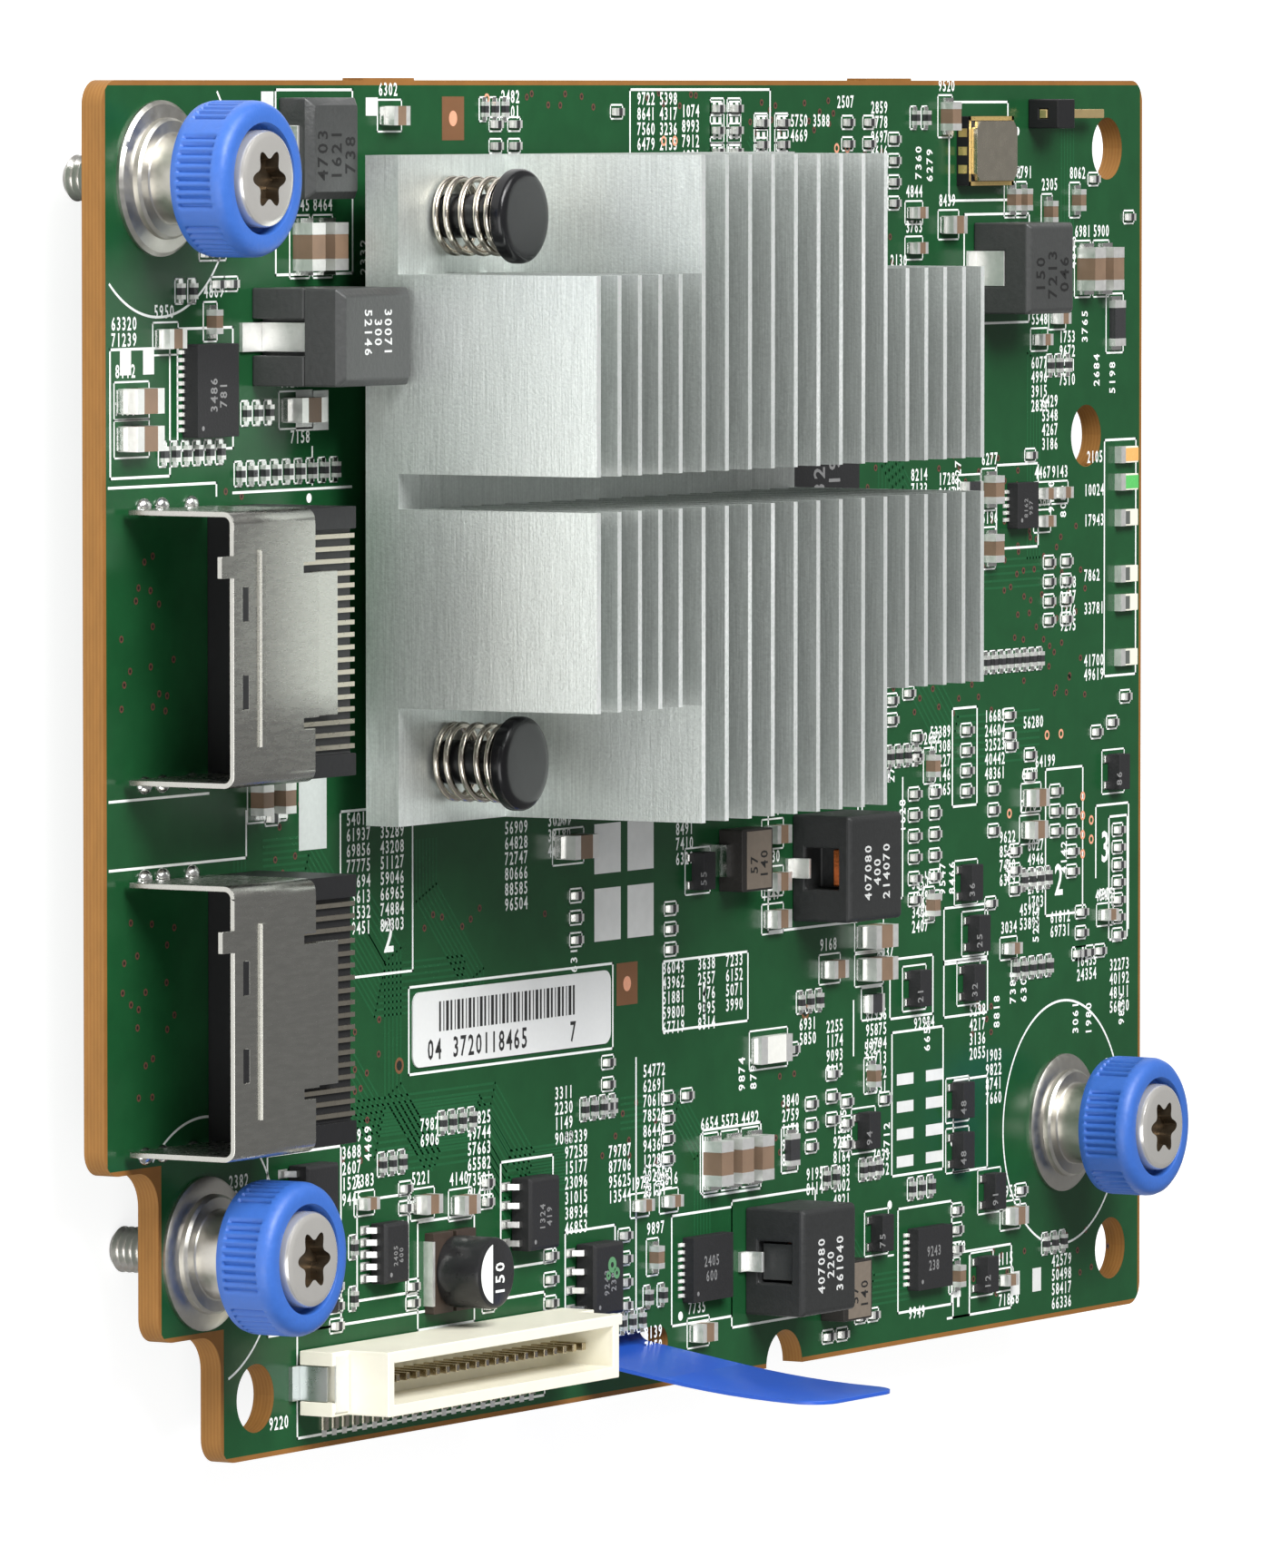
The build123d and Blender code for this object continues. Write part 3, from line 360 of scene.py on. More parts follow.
# Open copper and tinned pads
# Places that the mask leaves open: probe rings of bare copper, tinned squares, an unused place for a part
# with eight pads, and the reference marks on their dark squares.
bare_copper = finish("bare_copper", (0.86, 0.40, 0.25), 0.4, 0.2, spread=0.15, cells=(3.0, 3.0, 3.0))
bright_tin = finish("bright_tin", (0.90, 0.90, 0.87), 0.38, 0.75, spread=0.10, cells=(2.5, 2.5, 2.5),
                    rough_spread=0.2, relief=0.25)
probe_places = [
    (124.2, 46.9), (126.3, 46.9), (118.6, 52.3), (129.6, 51.6), (129.6, 53.0), (129.6, 54.4), (129.6, 55.8),
    (130.9, 53.4), (130.9, 54.8), (69.7, 3.8), (71.2, 3.8), (69.7, 5.2), (93.5, 4.4), (95.0, 4.4),
    (96.4, 5.8), (89.6, 6.0), (46.5, 0.9),
]


def edges_of(made):
    """The edges of a new circle, each once and in the same order each run."""
    return list(dict.fromkeys(e for v in made["verts"] for e in v.link_edges))


def ring(mesh, x, y, outer, inner, z, segments):
    """A flat ring on the mask."""
    edges = []
    for radius in (outer, inner):
        made = bmesh.ops.create_circle(mesh, segments=segments, radius=radius * mm,
                                       matrix=Matrix.Translation(card_point(x, y, z)))
        edges += edges_of(made)
    bmesh.ops.bridge_loops(mesh, edges=edges)


copper = bmesh.new()
for x, y in probe_places:
    ring(copper, x, y, 0.36, 0.19, 0.014, 14)
mark_places = [(42.2, 2.2), (64.8, 61.2)]
for x, y in mark_places:
    disc(copper, x, y, 0.52, 0.016, 20)
face_up(copper)
piece("probe_rings", copper, bare_copper)
marks = bmesh.new()
for x, y in mark_places:
    patch(marks, x, y, 2.8, 2.9)
bare_holes = bmesh.new()
for x, y in ((35.3, 64.8), (89.2, 64.7)):
    ring(marks, x, y, 0.55, 0.34, 0.012, 20)
    disc(bare_holes, x, y, 0.36, 0.010, 20)
face_up(marks)
face_up(bare_holes)
# The bare holes' dark discs are painted shade.
piece("bare_holes", bare_holes, hole_painted_shade)
piece("reference_marks", marks, finish("open_laminate", (0.17, 0.075, 0.03), 0.6))
pads = bmesh.new()
for y, width in ((51.8, 3.4), (56.3, 3.6)):
    for x in (62.2, 66.6):
        patch(pads, x, y, 3.5, width, 0.014)
for row in range(4):
    for x in (103.4, 107.6):
        patch(pads, x, 70.4 + row * 1.95, 2.4, 0.8, 0.014)
for x, y in ((2.3, 17.6), (5.0, 17.6), (119.6, 86.3), (122.8, 86.3)):
    patch(pads, x, y, 1.3, 1.7, 0.014)
for x, y in ((19.2, 1.0), (32.0, 1.4)):
    patch(pads, x, y, 1.5, 1.2, 0.014)
bare_columns = ((76.0, 0.9, 4), (78.3, 0.9, 4), (82.0, 1.95, 3), (84.85, 1.95, 3))
bare_pairs = [(x, top + 1.03 * row) for x, top, rows in bare_columns for row in range(rows)]
for x, y in bare_pairs:
    for along in (0.55, 1.3):
        patch(pads, x + along, y + 0.5, 0.42, 0.5, 0.014)
face_up(pads)
flat_tin = finish("flat_tin", (0.82, 0.83, 0.81), 0.4, 0.2, spread=0.12, cells=(0.8, 0.8, 0.8), relief=0.2)
piece("open_pads", pads, flat_tin)

# White print
# Epoxy ink printed on the mask: frames round the parts, rings round the thumbscrews, a filled patch and a
# grey one by the heatsink, and plain numbers beside the parts.
print_white = finish("print_ink", (0.90, 0.93, 0.90), 0.55, spread=0.08, cells=(4.0, 4.0, 4.0), relief=0.05)
frame_stroke, chip_stroke = 0.17, 0.12
number_height, row_pitch = 0.88, 1.03
digit_advance, digit_breadth = 0.7, 0.8


def digit_shapes():
    """The ten digits as flat meshes one unit high, made from the built-in font."""
    shapes = []
    for digit in range(10):
        curve = bpy.data.curves.new(f"digit_{digit}", "FONT")
        curve.body = str(digit)
        curve.resolution_u = 2
        curve.offset = 0.018
        text = bpy.data.objects.new(f"digit_{digit}", curve)
        bpy.context.scene.collection.objects.link(text)
        bpy.context.view_layer.update()
        flat = bpy.data.meshes.new_from_object(text.evaluated_get(bpy.context.evaluated_depsgraph_get()))
        bpy.data.objects.remove(text)
        low = min(v.co.y for v in flat.vertices)
        high = max(v.co.y for v in flat.vertices)
        left = min(v.co.x for v in flat.vertices)
        right = max(v.co.x for v in flat.vertices)
        flat.transform(Matrix.Translation((-(left + right) / 2, -low, 0)))
        flat.transform(Matrix.Diagonal((1 / (high - low), 1 / (high - low), 1, 1)))
        shapes.append(flat)
    return shapes


digits = digit_shapes()


def number(mesh, text, x, y, height, z=0.013, turn=0.0):
    """A printed number whose first digit stands at x and y, read along the card, or turned in degrees."""
    place = Matrix.Translation(card_point(x, y, z)) @ Matrix.Rotation(radians(turn), 4, "Z")
    size = Matrix.Diagonal((height * digit_breadth * mm, height * mm, 1, 1))
    for k, digit in enumerate(text):
        step = Matrix.Translation((k * height * digit_advance * mm, 0, 0))
        flat = digits[int(digit)].copy()
        flat.transform(place @ (step @ size))
        mesh.from_mesh(flat)
        bpy.data.meshes.remove(flat)


def solids_of(node):
    """The left, top, right, bottom, low and high of each solid in a node, in the card's millimetres."""
    mesh = bmesh.new()
    mesh.from_mesh(nodes[node].data)
    bmesh.ops.remove_doubles(mesh, verts=mesh.verts, dist=weld_reach)
    left_over = set(mesh.verts)
    boxes = []
    while left_over:
        grow = [left_over.pop()]
        group = list(grow)
        while grow:
            vert = grow.pop()
            for edge in vert.link_edges:
                other = edge.other_vert(vert)
                if other in left_over:
                    left_over.discard(other)
                    grow.append(other)
                    group.append(other)
        points = [on_card(v.co) for v in group]
        xs, ys, zs = zip(*points)
        boxes.append((min(xs), min(ys), max(xs), max(ys), min(zs), max(zs)))
    mesh.free()
    return sorted(boxes)


def plain_number(seed, length):
    """A plain number of so many digits, the same each time for the same seed."""
    least = 10 ** (length - 1)
    return str((seed * 7919 + 104729) % (9 * least) + least)


def outline(mesh, x, y, length, width, stroke):
    """A printed frame whose top left corner is at x and y."""
    right, bottom = x + length, y + width
    for x1, y1, x2, y2 in ((x, y, right, y), (x, bottom, right, bottom), (x, y, x, bottom),
                           (right, y, right, bottom)):
        line(mesh, x1, y1, x2, y2, stroke)


printing = bmesh.new()
thumb_places = []
for k in (1, 2, 3):
    low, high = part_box(f"screw_ferrule_{k}")
    thumb_places.append(on_card((low + high) / 2)[:2])
ring_radius, ring_steps = 8.86, 144
ring_stroke = ring_radius * 2 * pi / ring_steps * 1.05
for x, y in thumb_places:
    for k in range(ring_steps):
        angle = 2 * pi * k / ring_steps
        px, py = x + ring_radius * cos(angle), y + ring_radius * sin(angle)
        beyond_step = any(px < step_x + 0.4 and py > step_y - 0.27 for step_x, step_y in inner_steps)
        on_mask = px > 0.3 and py > 0.3
        if on_mask and not beyond_step:
            patch(printing, px, py, frame_stroke, ring_stroke, turn=-angle * 180 / pi)
frames = [
    (20.2, 0.3, 9.4, 12.0), (0.5, 16.8, 7.0, 8.2), (8.4, 15.6, 6.6, 7.8), (36.5, 59.7, 26.4, 5.8),
    (22.6, 81.4, 31.3, 7.0), (101.5, 67.0, 7.4, 10.2), (109.0, 58.6, 6.4, 4.0), (109.0, 62.4, 6.4, 4.0),
    (101.2, 61.8, 6.2, 4.2), (75.0, 72.0, 8.0, 4.6), (48.2, 72.2, 6.8, 7.2), (56.6, 77.6, 6.6, 6.8),
    (30.0, 73.4, 6.4, 6.6), (19.0, 69.6, 9.0, 11.8), (70.8, 77.6, 8.2, 7.6), (102.4, 79.6, 7.8, 7.4),
    (84.0, 50.2, 12.6, 8.6), (79.0, 77.2, 11.6, 8.8), (109.6, 1.2, 8.6, 7.0), (111.8, 9.2, 9.6, 7.8),
    (116.6, 27.2, 6.2, 6.0), (132.8, 25.8, 4.8, 17.2), (133.6, 53.3, 2.8, 9.0), (69.6, 60.0, 11.6, 4.8),
    (28.0, 47.6, 9.0, 11.0), (124.0, 49.4, 5.6, 10.6), (110.2, 44.4, 3.6, 7.0), (37.6, 75.4, 7.2, 7.2),
    (110.4, 83.4, 8.6, 4.6), (110.4, 71.0, 5.0, 6.6),
]
for x, y, length, width in frames:
    outline(printing, x, y, length, width, frame_stroke)
lines = [
    (0.3, 25.6, 13.0, 25.6), (13.0, 25.6, 13.0, 26.4), (0.3, 50.0, 16.5, 50.0), (16.5, 50.0, 16.5, 47.0),
    (0.3, 45.6, 12.0, 45.6), (65.2, 0.3, 65.2, 4.7), (65.2, 0.3, 84.2, 0.3), (84.2, 0.3, 84.2, 4.7),
    (97.2, 47.0, 97.2, 57.5), (97.2, 57.5, 103.0, 57.5), (103.0, 57.5, 103.0, 49.0),
    (66.0, 66.4, 66.0, 83.6), (96.0, 64.4, 96.0, 68.2), (131.6, 52.4, 131.6, 57.6),
    (131.6, 52.4, 136.6, 52.4), (136.6, 52.4, 136.6, 61.6), (109.6, 88.0, 112.8, 88.0),
    (112.8, 83.8, 112.8, 88.0), (24.6, 23.6, 24.6, 26.0), (15.0, 26.3, 29.4, 26.3),
]
for x1, y1, x2, y2 in lines:
    line(printing, x1, y1, x2, y2, frame_stroke)
for x, y in bare_pairs:
    outline(printing, x, y, 1.85, 1.0, chip_stroke)
patch(printing, 24.6, 21.2, 4.0, 2.6)
grey_patch = bmesh.new()
patch(grey_patch, 24.6, 45.6, 3.4, 8.6)
face_up(grey_patch)
grey_patch_finish = finish("grey_patch", (0.54, 0.58, 0.555), 0.5, spread=0.12, cells=(3.0, 3.0, 3.0))
piece("grey_print", grey_patch, grey_patch_finish)
for x, y in ((24.2, 26.9), (119.6, 3.3), (101.2, 79.2), (55.4, 77.0), (8.6, 15.9), (72.0, 84.6),
             (110.3, 75.4)):
    disc(printing, x, y, 0.32)
chip_margins = {"chip_resistors": (0.3, 0.22), "ceramic_capacitors": (0.5, 0.42), "transistors": (0.3, 0.9),
                "fuse": (0.5, 0.42)}
chip_boxes = {name: solids_of(name) for name in chip_margins}
seed = 0
for name, boxes in chip_boxes.items():
    for left, top, right, bottom, low, high in boxes:
        seed += 1
        at_ends, at_sides = chip_margins[name]
        along_x = right - left > bottom - top
        dx, dy = (at_ends, at_sides) if along_x else (at_sides, at_ends)
        outline(printing, left - dx, top - dy, right - left + 2 * dx, bottom - top + 2 * dy, chip_stroke)
        if name == "ceramic_capacitors":
            number(printing, plain_number(seed, 4), left - 0.1, top - dy - 0.25, number_height)
columns = [
    (115.2, 45.6, 5, 5), (120.9, 46.3, 1, 5), (122.7, 49.2, 1, 5), (99.6, 60.6, 2, 4), (98.0, 66.0, 6, 5),
    (131.8, 59.4, 1, 5), (107.2, 46.4, 5, 5), (104.9, 67.0, 1, 5), (115.4, 70.0, 4, 4), (125.3, 85.6, 4, 5),
    (92.4, 66.4, 4, 4), (88.6, 66.0, 2, 4), (28.4, 69.5, 5, 4), (24.4, 62.4, 7, 4), (19.2, 63.0, 6, 4),
    (55.5, 68.5, 4, 4), (38.2, 69.4, 2, 4), (44.2, 69.4, 6, 5), (56.8, 71.6, 7, 5), (67.2, 67.8, 9, 5),
    (69.8, 60.9, 5, 5), (74.6, 60.9, 5, 4), (78.4, 60.9, 4, 4), (49.0, 50.2, 6, 5), (54.6, 47.9, 5, 5),
    (29.0, 48.6, 8, 5), (33.2, 48.6, 8, 5), (66.4, 1.35, 4, 4), (69.4, 1.35, 4, 4), (72.4, 2.2, 4, 4),
    (87.3, 2.9, 2, 4), (90.4, 2.9, 1, 4), (93.8, 1.6, 1, 4), (94.6, 8.0, 7, 4), (98.6, 2.0, 9, 4),
    (101.4, 12.8, 8, 4), (48.6, 1.2, 2, 4), (0.9, 15.6, 2, 5), (22.2, 23.3, 1, 4), (122.0, 20.4, 4, 4),
    (126.2, 18.6, 4, 4), (123.6, 23.2, 4, 4), (130.4, 27.4, 1, 4), (130.0, 29.8, 1, 5), (130.0, 32.0, 1, 5),
    (130.0, 36.0, 1, 4), (130.0, 38.4, 1, 5), (130.0, 42.2, 2, 5), (126.4, 36.4, 4, 4), (104.4, 28.0, 6, 4),
    (108.4, 28.4, 5, 4), (101.0, 34.0, 7, 5), (111.6, 31.8, 4, 4), (98.0, 30.2, 5, 4), (121.6, 55.2, 5, 4),
    (117.4, 54.4, 4, 4), (113.0, 66.6, 4, 4), (120.4, 59.8, 2, 5), (125.0, 60.6, 2, 5), (104.6, 57.0, 4, 4),
    (93.4, 73.6, 6, 4), (86.2, 71.2, 5, 4), (129.0, 64.0, 2, 5), (134.0, 64.6, 4, 5), (104.2, 87.6, 1, 4),
    (117.4, 87.8, 1, 5), (62.6, 73.0, 4, 5), (20.6, 68.0, 1, 4), (14.6, 71.4, 2, 4), (19.4, 87.6, 1, 4),
    (67.4, 85.8, 2, 4), (83.2, 46.8, 2, 4), (92.6, 47.6, 1, 5), (76.6, 47.0, 2, 4), (71.6, 50.4, 4, 4),
    (18.6, 52.0, 7, 4), (22.4, 56.4, 6, 4), (89.6, 76.6, 2, 4), (99.0, 76.0, 2, 4), (55.6, 85.6, 2, 4),
]
for x, y, rows, length in columns:
    for row in range(rows):
        seed += 1
        number(printing, plain_number(seed, length), x, y + row * row_pitch, number_height)
upright = [
    (101.8, 49.0), (103.4, 52.6), (109.2, 57.4), (110.6, 57.4), (119.6, 65.8), (121.2, 65.8), (123.0, 61.6),
    (127.2, 56.8), (129.0, 68.6), (131.0, 68.8), (136.0, 68.4), (117.2, 67.4), (98.2, 49.6), (107.0, 68.4),
    (106.2, 58.8), (118.8, 57.0), (30.0, 16.6), (31.4, 12.2), (101.8, 82.8), (125.2, 30.6), (127.0, 31.0),
    (110.0, 33.8), (111.4, 28.8), (128.4, 13.0), (130.2, 18.4), (132.0, 21.6), (104.0, 24.6), (121.0, 13.4),
    (122.4, 13.8), (105.6, 6.4), (107.2, 6.6), (134.4, 22.2), (68.0, 75.8), (69.4, 75.8), (70.8, 75.6),
    (80.8, 69.4), (82.4, 69.4), (101.2, 75.4), (58.2, 60.4), (95.0, 73.4), (31.8, 70.6),
]
for x, y in upright:
    seed += 1
    number(printing, plain_number(seed, 4), x, y, number_height, turn=90.0)
field_numbers = (("1", 101.0, 49.2), ("2", 126.0, 58.6), ("3", 133.0, 56.6), ("4", 110.9, 87.3),
                 ("2", 34.0, 57.2), ("1", 75.2, 64.2))
for text, x, y in field_numbers:
    number(printing, text, x, y, 2.3)
face_up(printing)
piece("white_print", printing, print_white)

# Controller package and thermal pad
# The controller's substrate and moulded cover under the heatsink, and the soft grey pad between them that
# carries its heat away. Both are hidden from most sides.
moulding_black = finish("moulding_compound", (0.020, 0.020, 0.021), 0.62, specular=0.3, spread=0.25,
                        cells=(5.0, 5.0, 5.0), relief=0.3)
dress("controller_package", moulding_black, 0.1)
dress("thermal_pad", finish("thermal_pad", (0.42, 0.43, 0.45), 0.8, cells=(3.0, 3.0, 3.0), relief=0.4))

# Heatsink
# Extruded aluminium with straight fins along Y, sawn across once, and milled down to ears at its corners.
# The extrusion's die lines run along the fins. Painted shade darkens the walls between fins, and painted
# highlight brightens the outer side faces and the tops of the fins.
sink_low, sink_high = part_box("heatsink")
ear_width, tip_height = 7.75 * mm, 0.3 * mm
middle_fins = sink_low.x + 13.4 * mm
past_wall = 1.5 * mm
streak_dark, streak_pale = (0.50, 0.53, 0.51), (0.88, 0.925, 0.895)


def walls_and_tips(tree, place, sideways):
    """Two masks: the walls behind another fin, for painted shade, and the fins' tip height, for painted
    highlight.
    """
    split = tree.nodes.new("ShaderNodeSeparateXYZ")
    tree.links.new(place, split.inputs[0])
    x, y, z = split.outputs
    behind_first = maths(tree, "GREATER_THAN", x, sink_low.x + past_wall)
    behind_middle = maths(tree, "GREATER_THAN", x, middle_fins + past_wall)
    above_ear = maths(tree, "GREATER_THAN", y, sink_low.y + ear_width)
    below_ear = maths(tree, "LESS_THAN", y, sink_high.y - ear_width)
    inner = maths(tree, "MULTIPLY", behind_first, maths(tree, "MULTIPLY", above_ear, below_ear))
    shaded_walls = maths(tree, "MULTIPLY", sideways, maths(tree, "MAXIMUM", inner, behind_middle))
    return shaded_walls, maths(tree, "GREATER_THAN", z, sink_high.z - tip_height)


def extruded_finish():
    """Aluminium with long fine streaks along the fins, painted shade between them and painted highlight on
    tips.
    """
    material, tree, shader = new_finish("extruded_aluminium_painted_light", (0.72, 0.73, 0.73), 0.42, 0.72)
    place = tree.nodes.new("ShaderNodeTexCoord")
    stretch = tree.nodes.new("ShaderNodeMapping")
    stretch.inputs["Scale"].default_value = (1.0, 0.03, 1.0)
    tree.links.new(place.outputs["Object"], stretch.inputs["Vector"])
    streaks = tree.nodes.new("ShaderNodeTexNoise")
    streaks.inputs["Scale"].default_value = 9 / mm
    streaks.inputs["Detail"].default_value = 6.0
    tree.links.new(stretch.outputs[0], streaks.inputs["Vector"])
    facing = tree.nodes.new("ShaderNodeNewGeometry")
    normal = tree.nodes.new("ShaderNodeSeparateXYZ")
    tree.links.new(facing.outputs["Normal"], normal.inputs[0])
    sideways = maths(tree, "GREATER_THAN", maths(tree, "ABSOLUTE", normal.outputs[0]), 0.8)
    shaded_walls, lit_tips = walls_and_tips(tree, place.outputs["Object"], sideways)
    # Painted shade on the walls behind a fin, painted highlight on the outer side faces and the faces at the
    # tips.
    outer = maths(tree, "SUBTRACT", sideways, shaded_walls)
    gain = maths(tree, "MULTIPLY_ADD", shaded_walls, -0.18, maths(tree, "MULTIPLY_ADD", outer, 0.10, 1.0))
    lit_tip_faces = maths(tree, "MULTIPLY", lit_tips, maths(tree, "SUBTRACT", 1.0, sideways))
    gain = maths(tree, "MULTIPLY_ADD", lit_tip_faces, 0.40, gain)
    streaked = mixed(tree, streaks.outputs[0], streak_dark, streak_pale)
    scaled = tree.nodes.new("ShaderNodeVectorMath")
    scaled.operation = "SCALE"
    tree.links.new(streaked, scaled.inputs[0])
    tree.links.new(gain, scaled.inputs["Scale"])
    node = make_uneven(tree, shader, scaled.outputs[0], spread=0.22, cells=(5.0, 5.0, 5.0),
                       rough_spread=0.14, relief=0.22)
    node.inputs["Roughness"].default_value = 0.42
    bump = tree.nodes.new("ShaderNodeBump")
    bump.inputs["Distance"].default_value = 0.05 * mm
    bump.inputs["Strength"].default_value = 0.22
    tree.links.new(streaks.outputs[0], bump.inputs["Height"])
    tree.links.new(node.outputs["Normal"], bump.inputs["Normal"])
    tree.links.new(bump.outputs[0], shader.inputs["Normal"])
    shader.inputs["Anisotropic"].default_value = 0.5
    return material


dress("heatsink", extruded_finish(), 0.06)

# Push pins
# Black nylon pins with a domed head, a shaft through the heatsink's ear and the card, and a split barb that
# catches below the card. A plated wire spring under each head holds the heatsink down.
nylon_black = finish("black_nylon", (0.008, 0.008, 0.009), 0.22, specular=0.35, spread=0.1,
                     cells=(1.0, 1.0, 1.0), relief=0.06)
spring_plating = finish("spring_plating", (0.56, 0.51, 0.44), 0.22, 1.0, spread=0.1, cells=(3.0, 3.0, 3.0),
                        relief=0.05)
pin_shaft, pin_head = 1.45, 3.1
barb_top, barb_reach, barb_point, barb_slit, barb_width = -1.6, 1.95, 0.75, 0.25, 1.8


def turned_part(mesh, centre, levels, segments=64):
    """A round part from its levels of radius and height, as circles that are bridged from one to the next."""
    before = None
    for radius, height in levels:
        matrix = Matrix.Translation((centre.x, centre.y, centre.z + height * mm))
        made = bmesh.ops.create_circle(mesh, segments=segments, radius=radius * mm, matrix=matrix)
        edges = edges_of(made)
        if before is not None:
            bmesh.ops.bridge_loops(mesh, edges=before + edges)
        else:
            first = edges
        before = edges
    return first, before


def close_part(mesh, *loops):
    """Closes the given open ends and turns the faces outwards."""
    for edges in loops:
        bmesh.ops.edgeloop_fill(mesh, edges=edges)
    bmesh.ops.recalc_face_normals(mesh, faces=mesh.faces)


def wound_wire(mesh, centre, radius, wire, bottom, top, turns):
    """A round wire wound up from bottom to top, with a closed turn at each end."""
    rise = top - bottom - wire
    lead = wire * 1.02
    stages = ((0.0, lead, 1.0), (lead, rise - lead, turns - 2.0), (rise - lead, rise, 1.0))
    steps_a_turn = 28
    beginning = centre + Vector((radius * mm, 0, (bottom + wire / 2) * mm))
    start = Matrix.Translation(beginning) @ Matrix.Rotation(pi / 2, 4, "X")
    made = bmesh.ops.create_circle(mesh, cap_ends=True, segments=10, radius=wire / 2 * mm, matrix=start)
    section = [f for v in made["verts"] for f in v.link_faces][:1]
    geometry = section + list(section[0].edges) + list(section[0].verts)
    for low, high, wound in stages:
        steps = int(steps_a_turn * wound)
        lift = (0, 0, (high - low) * mm / steps)
        spun = bmesh.ops.spin(mesh, geom=geometry, cent=centre, axis=(0, 0, 1), dvec=lift,
                              angle=2 * pi * wound, steps=steps)
        geometry = spun["geom_last"]
    bmesh.ops.recalc_face_normals(mesh, faces=mesh.faces)


def seat_heights(node):
    """A node's centre at the mask's height, and its lowest and highest point above it in millimetres."""
    low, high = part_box(node)
    centre = (low + high) / 2
    centre.z = mask_face
    return centre, (low.z - mask_face) / mm, (high.z - mask_face) / mm


for k in (1, 2, 3, 4):
    centre, low, high = seat_heights(f"push_pin_{k}")
    spring_centre, spring_low, spring_high = seat_heights(f"push_pin_spring_{k}")
    under = spring_high + 0.02
    shape = bmesh.new()
    levels = [(pin_shaft, barb_top), (pin_shaft, under), (2.85, under), (pin_head, under + 0.2),
              (pin_head, high - 0.42), (3.04, high - 0.24), (2.9, high - 0.1), (2.65, high - 0.02),
              (2.3, high)]
    ends = turned_part(shape, centre, levels)
    close_part(shape, *ends)
    for side in (-1, 1):
        arrow = bmesh.ops.create_cube(shape, size=1.0)["verts"]
        for v in arrow:
            outer, lower = v.co.x * side > 0, v.co.z < 0
            reach = (barb_point if lower else barb_reach) if outer else barb_slit
            v.co.x = side * reach * mm + centre.x
            v.co.y = v.co.y * barb_width * mm + centre.y
            v.co.z = mask_face + (low if lower else barb_top) * mm
    bmesh.ops.recalc_face_normals(shape, faces=shape.faces)
    pin = piece(f"nylon_pin_{k}", shape, nylon_black, f"push_pin_body_{k}", 30)
    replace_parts(pin, f"push_pin_{k}")
    coil = bmesh.new()
    wound_wire(coil, spring_centre, 2.42, 0.46, spring_low, spring_high, 5.0)
    spring = piece(f"pin_spring_wire_{k}", coil, spring_plating, "card", 60)
    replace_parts(spring, f"push_pin_spring_{k}")
    length = spring_high - spring_low
    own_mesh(spring)

# Captive thumbscrews
# A tinned ferrule is soldered to the card, and the screw's thread can't pass its bore. A blue moulded knob
# sits on the screw's neck round the head, and a spring in the ferrule's sleeve lifts both.
tinned = finish("tinned_ferrule", (0.60, 0.58, 0.53), 0.36, 1.0, spread=0.14, cells=(1.6, 1.6, 1.6),
                rough_spread=0.14, relief=0.10)
screw_steel = finish("plated_screw", (0.74, 0.72, 0.68), 0.24, 0.7, spread=0.05, cells=(0.6, 0.6, 0.6),
                     rough_spread=0.04, relief=0.01)
knob_blue = finish("knob_nylon", (0.034, 0.122, 0.450), 0.45, spread=0.10, cells=(2.0, 2.0, 2.0),
                   rough_spread=0.12, relief=0.35)
# The dark bronze of the drive's recess is painted shade.
drive_painted_shade = finish("drive_recess_painted_shade", (0.13, 0.098, 0.064), 0.3, 0.85, spread=0.3, cells=(2.0, 2.0, 2.0))
spring_play = 0.06
neck_low, neck_high = 6.33, 6.93
drive_depth = 1.0
thread_radius, thread_root, thread_pitch = 1.5, 1.26, 0.5
groove_groups, grooves_in_group, groove_pitch, groove_depth = 5, 9, radians(6.6), 0.26


def lobed(mesh, centre, height, tip, waist, segments=96):
    """A six-lobed outline for the screw's drive."""
    made = bmesh.ops.create_circle(mesh, segments=segments, radius=tip * mm,
                                   matrix=Matrix.Translation((centre.x, centre.y, centre.z + height * mm)))
    for v in made["verts"]:
        angle = atan2(v.co.y - centre.y, v.co.x - centre.x)
        wave = 0.5 + 0.5 * cos(6 * angle)
        radius = (waist + (tip - waist) * wave ** 1.3) * mm
        v.co.x = centre.x + radius * cos(angle)
        v.co.y = centre.y + radius * sin(angle)
    return edges_of(made)


def groove_share(angle):
    """How deep a groove is at an angle round the knob, from 0 on a land to 1 at its middle."""
    turn = 2 * pi / groove_groups
    within = angle % turn
    step = within / groove_pitch
    if step > grooves_in_group:
        return 0.0
    return max(0.0, 0.5 - 0.5 * cos(2 * pi * step)) ** 1.5


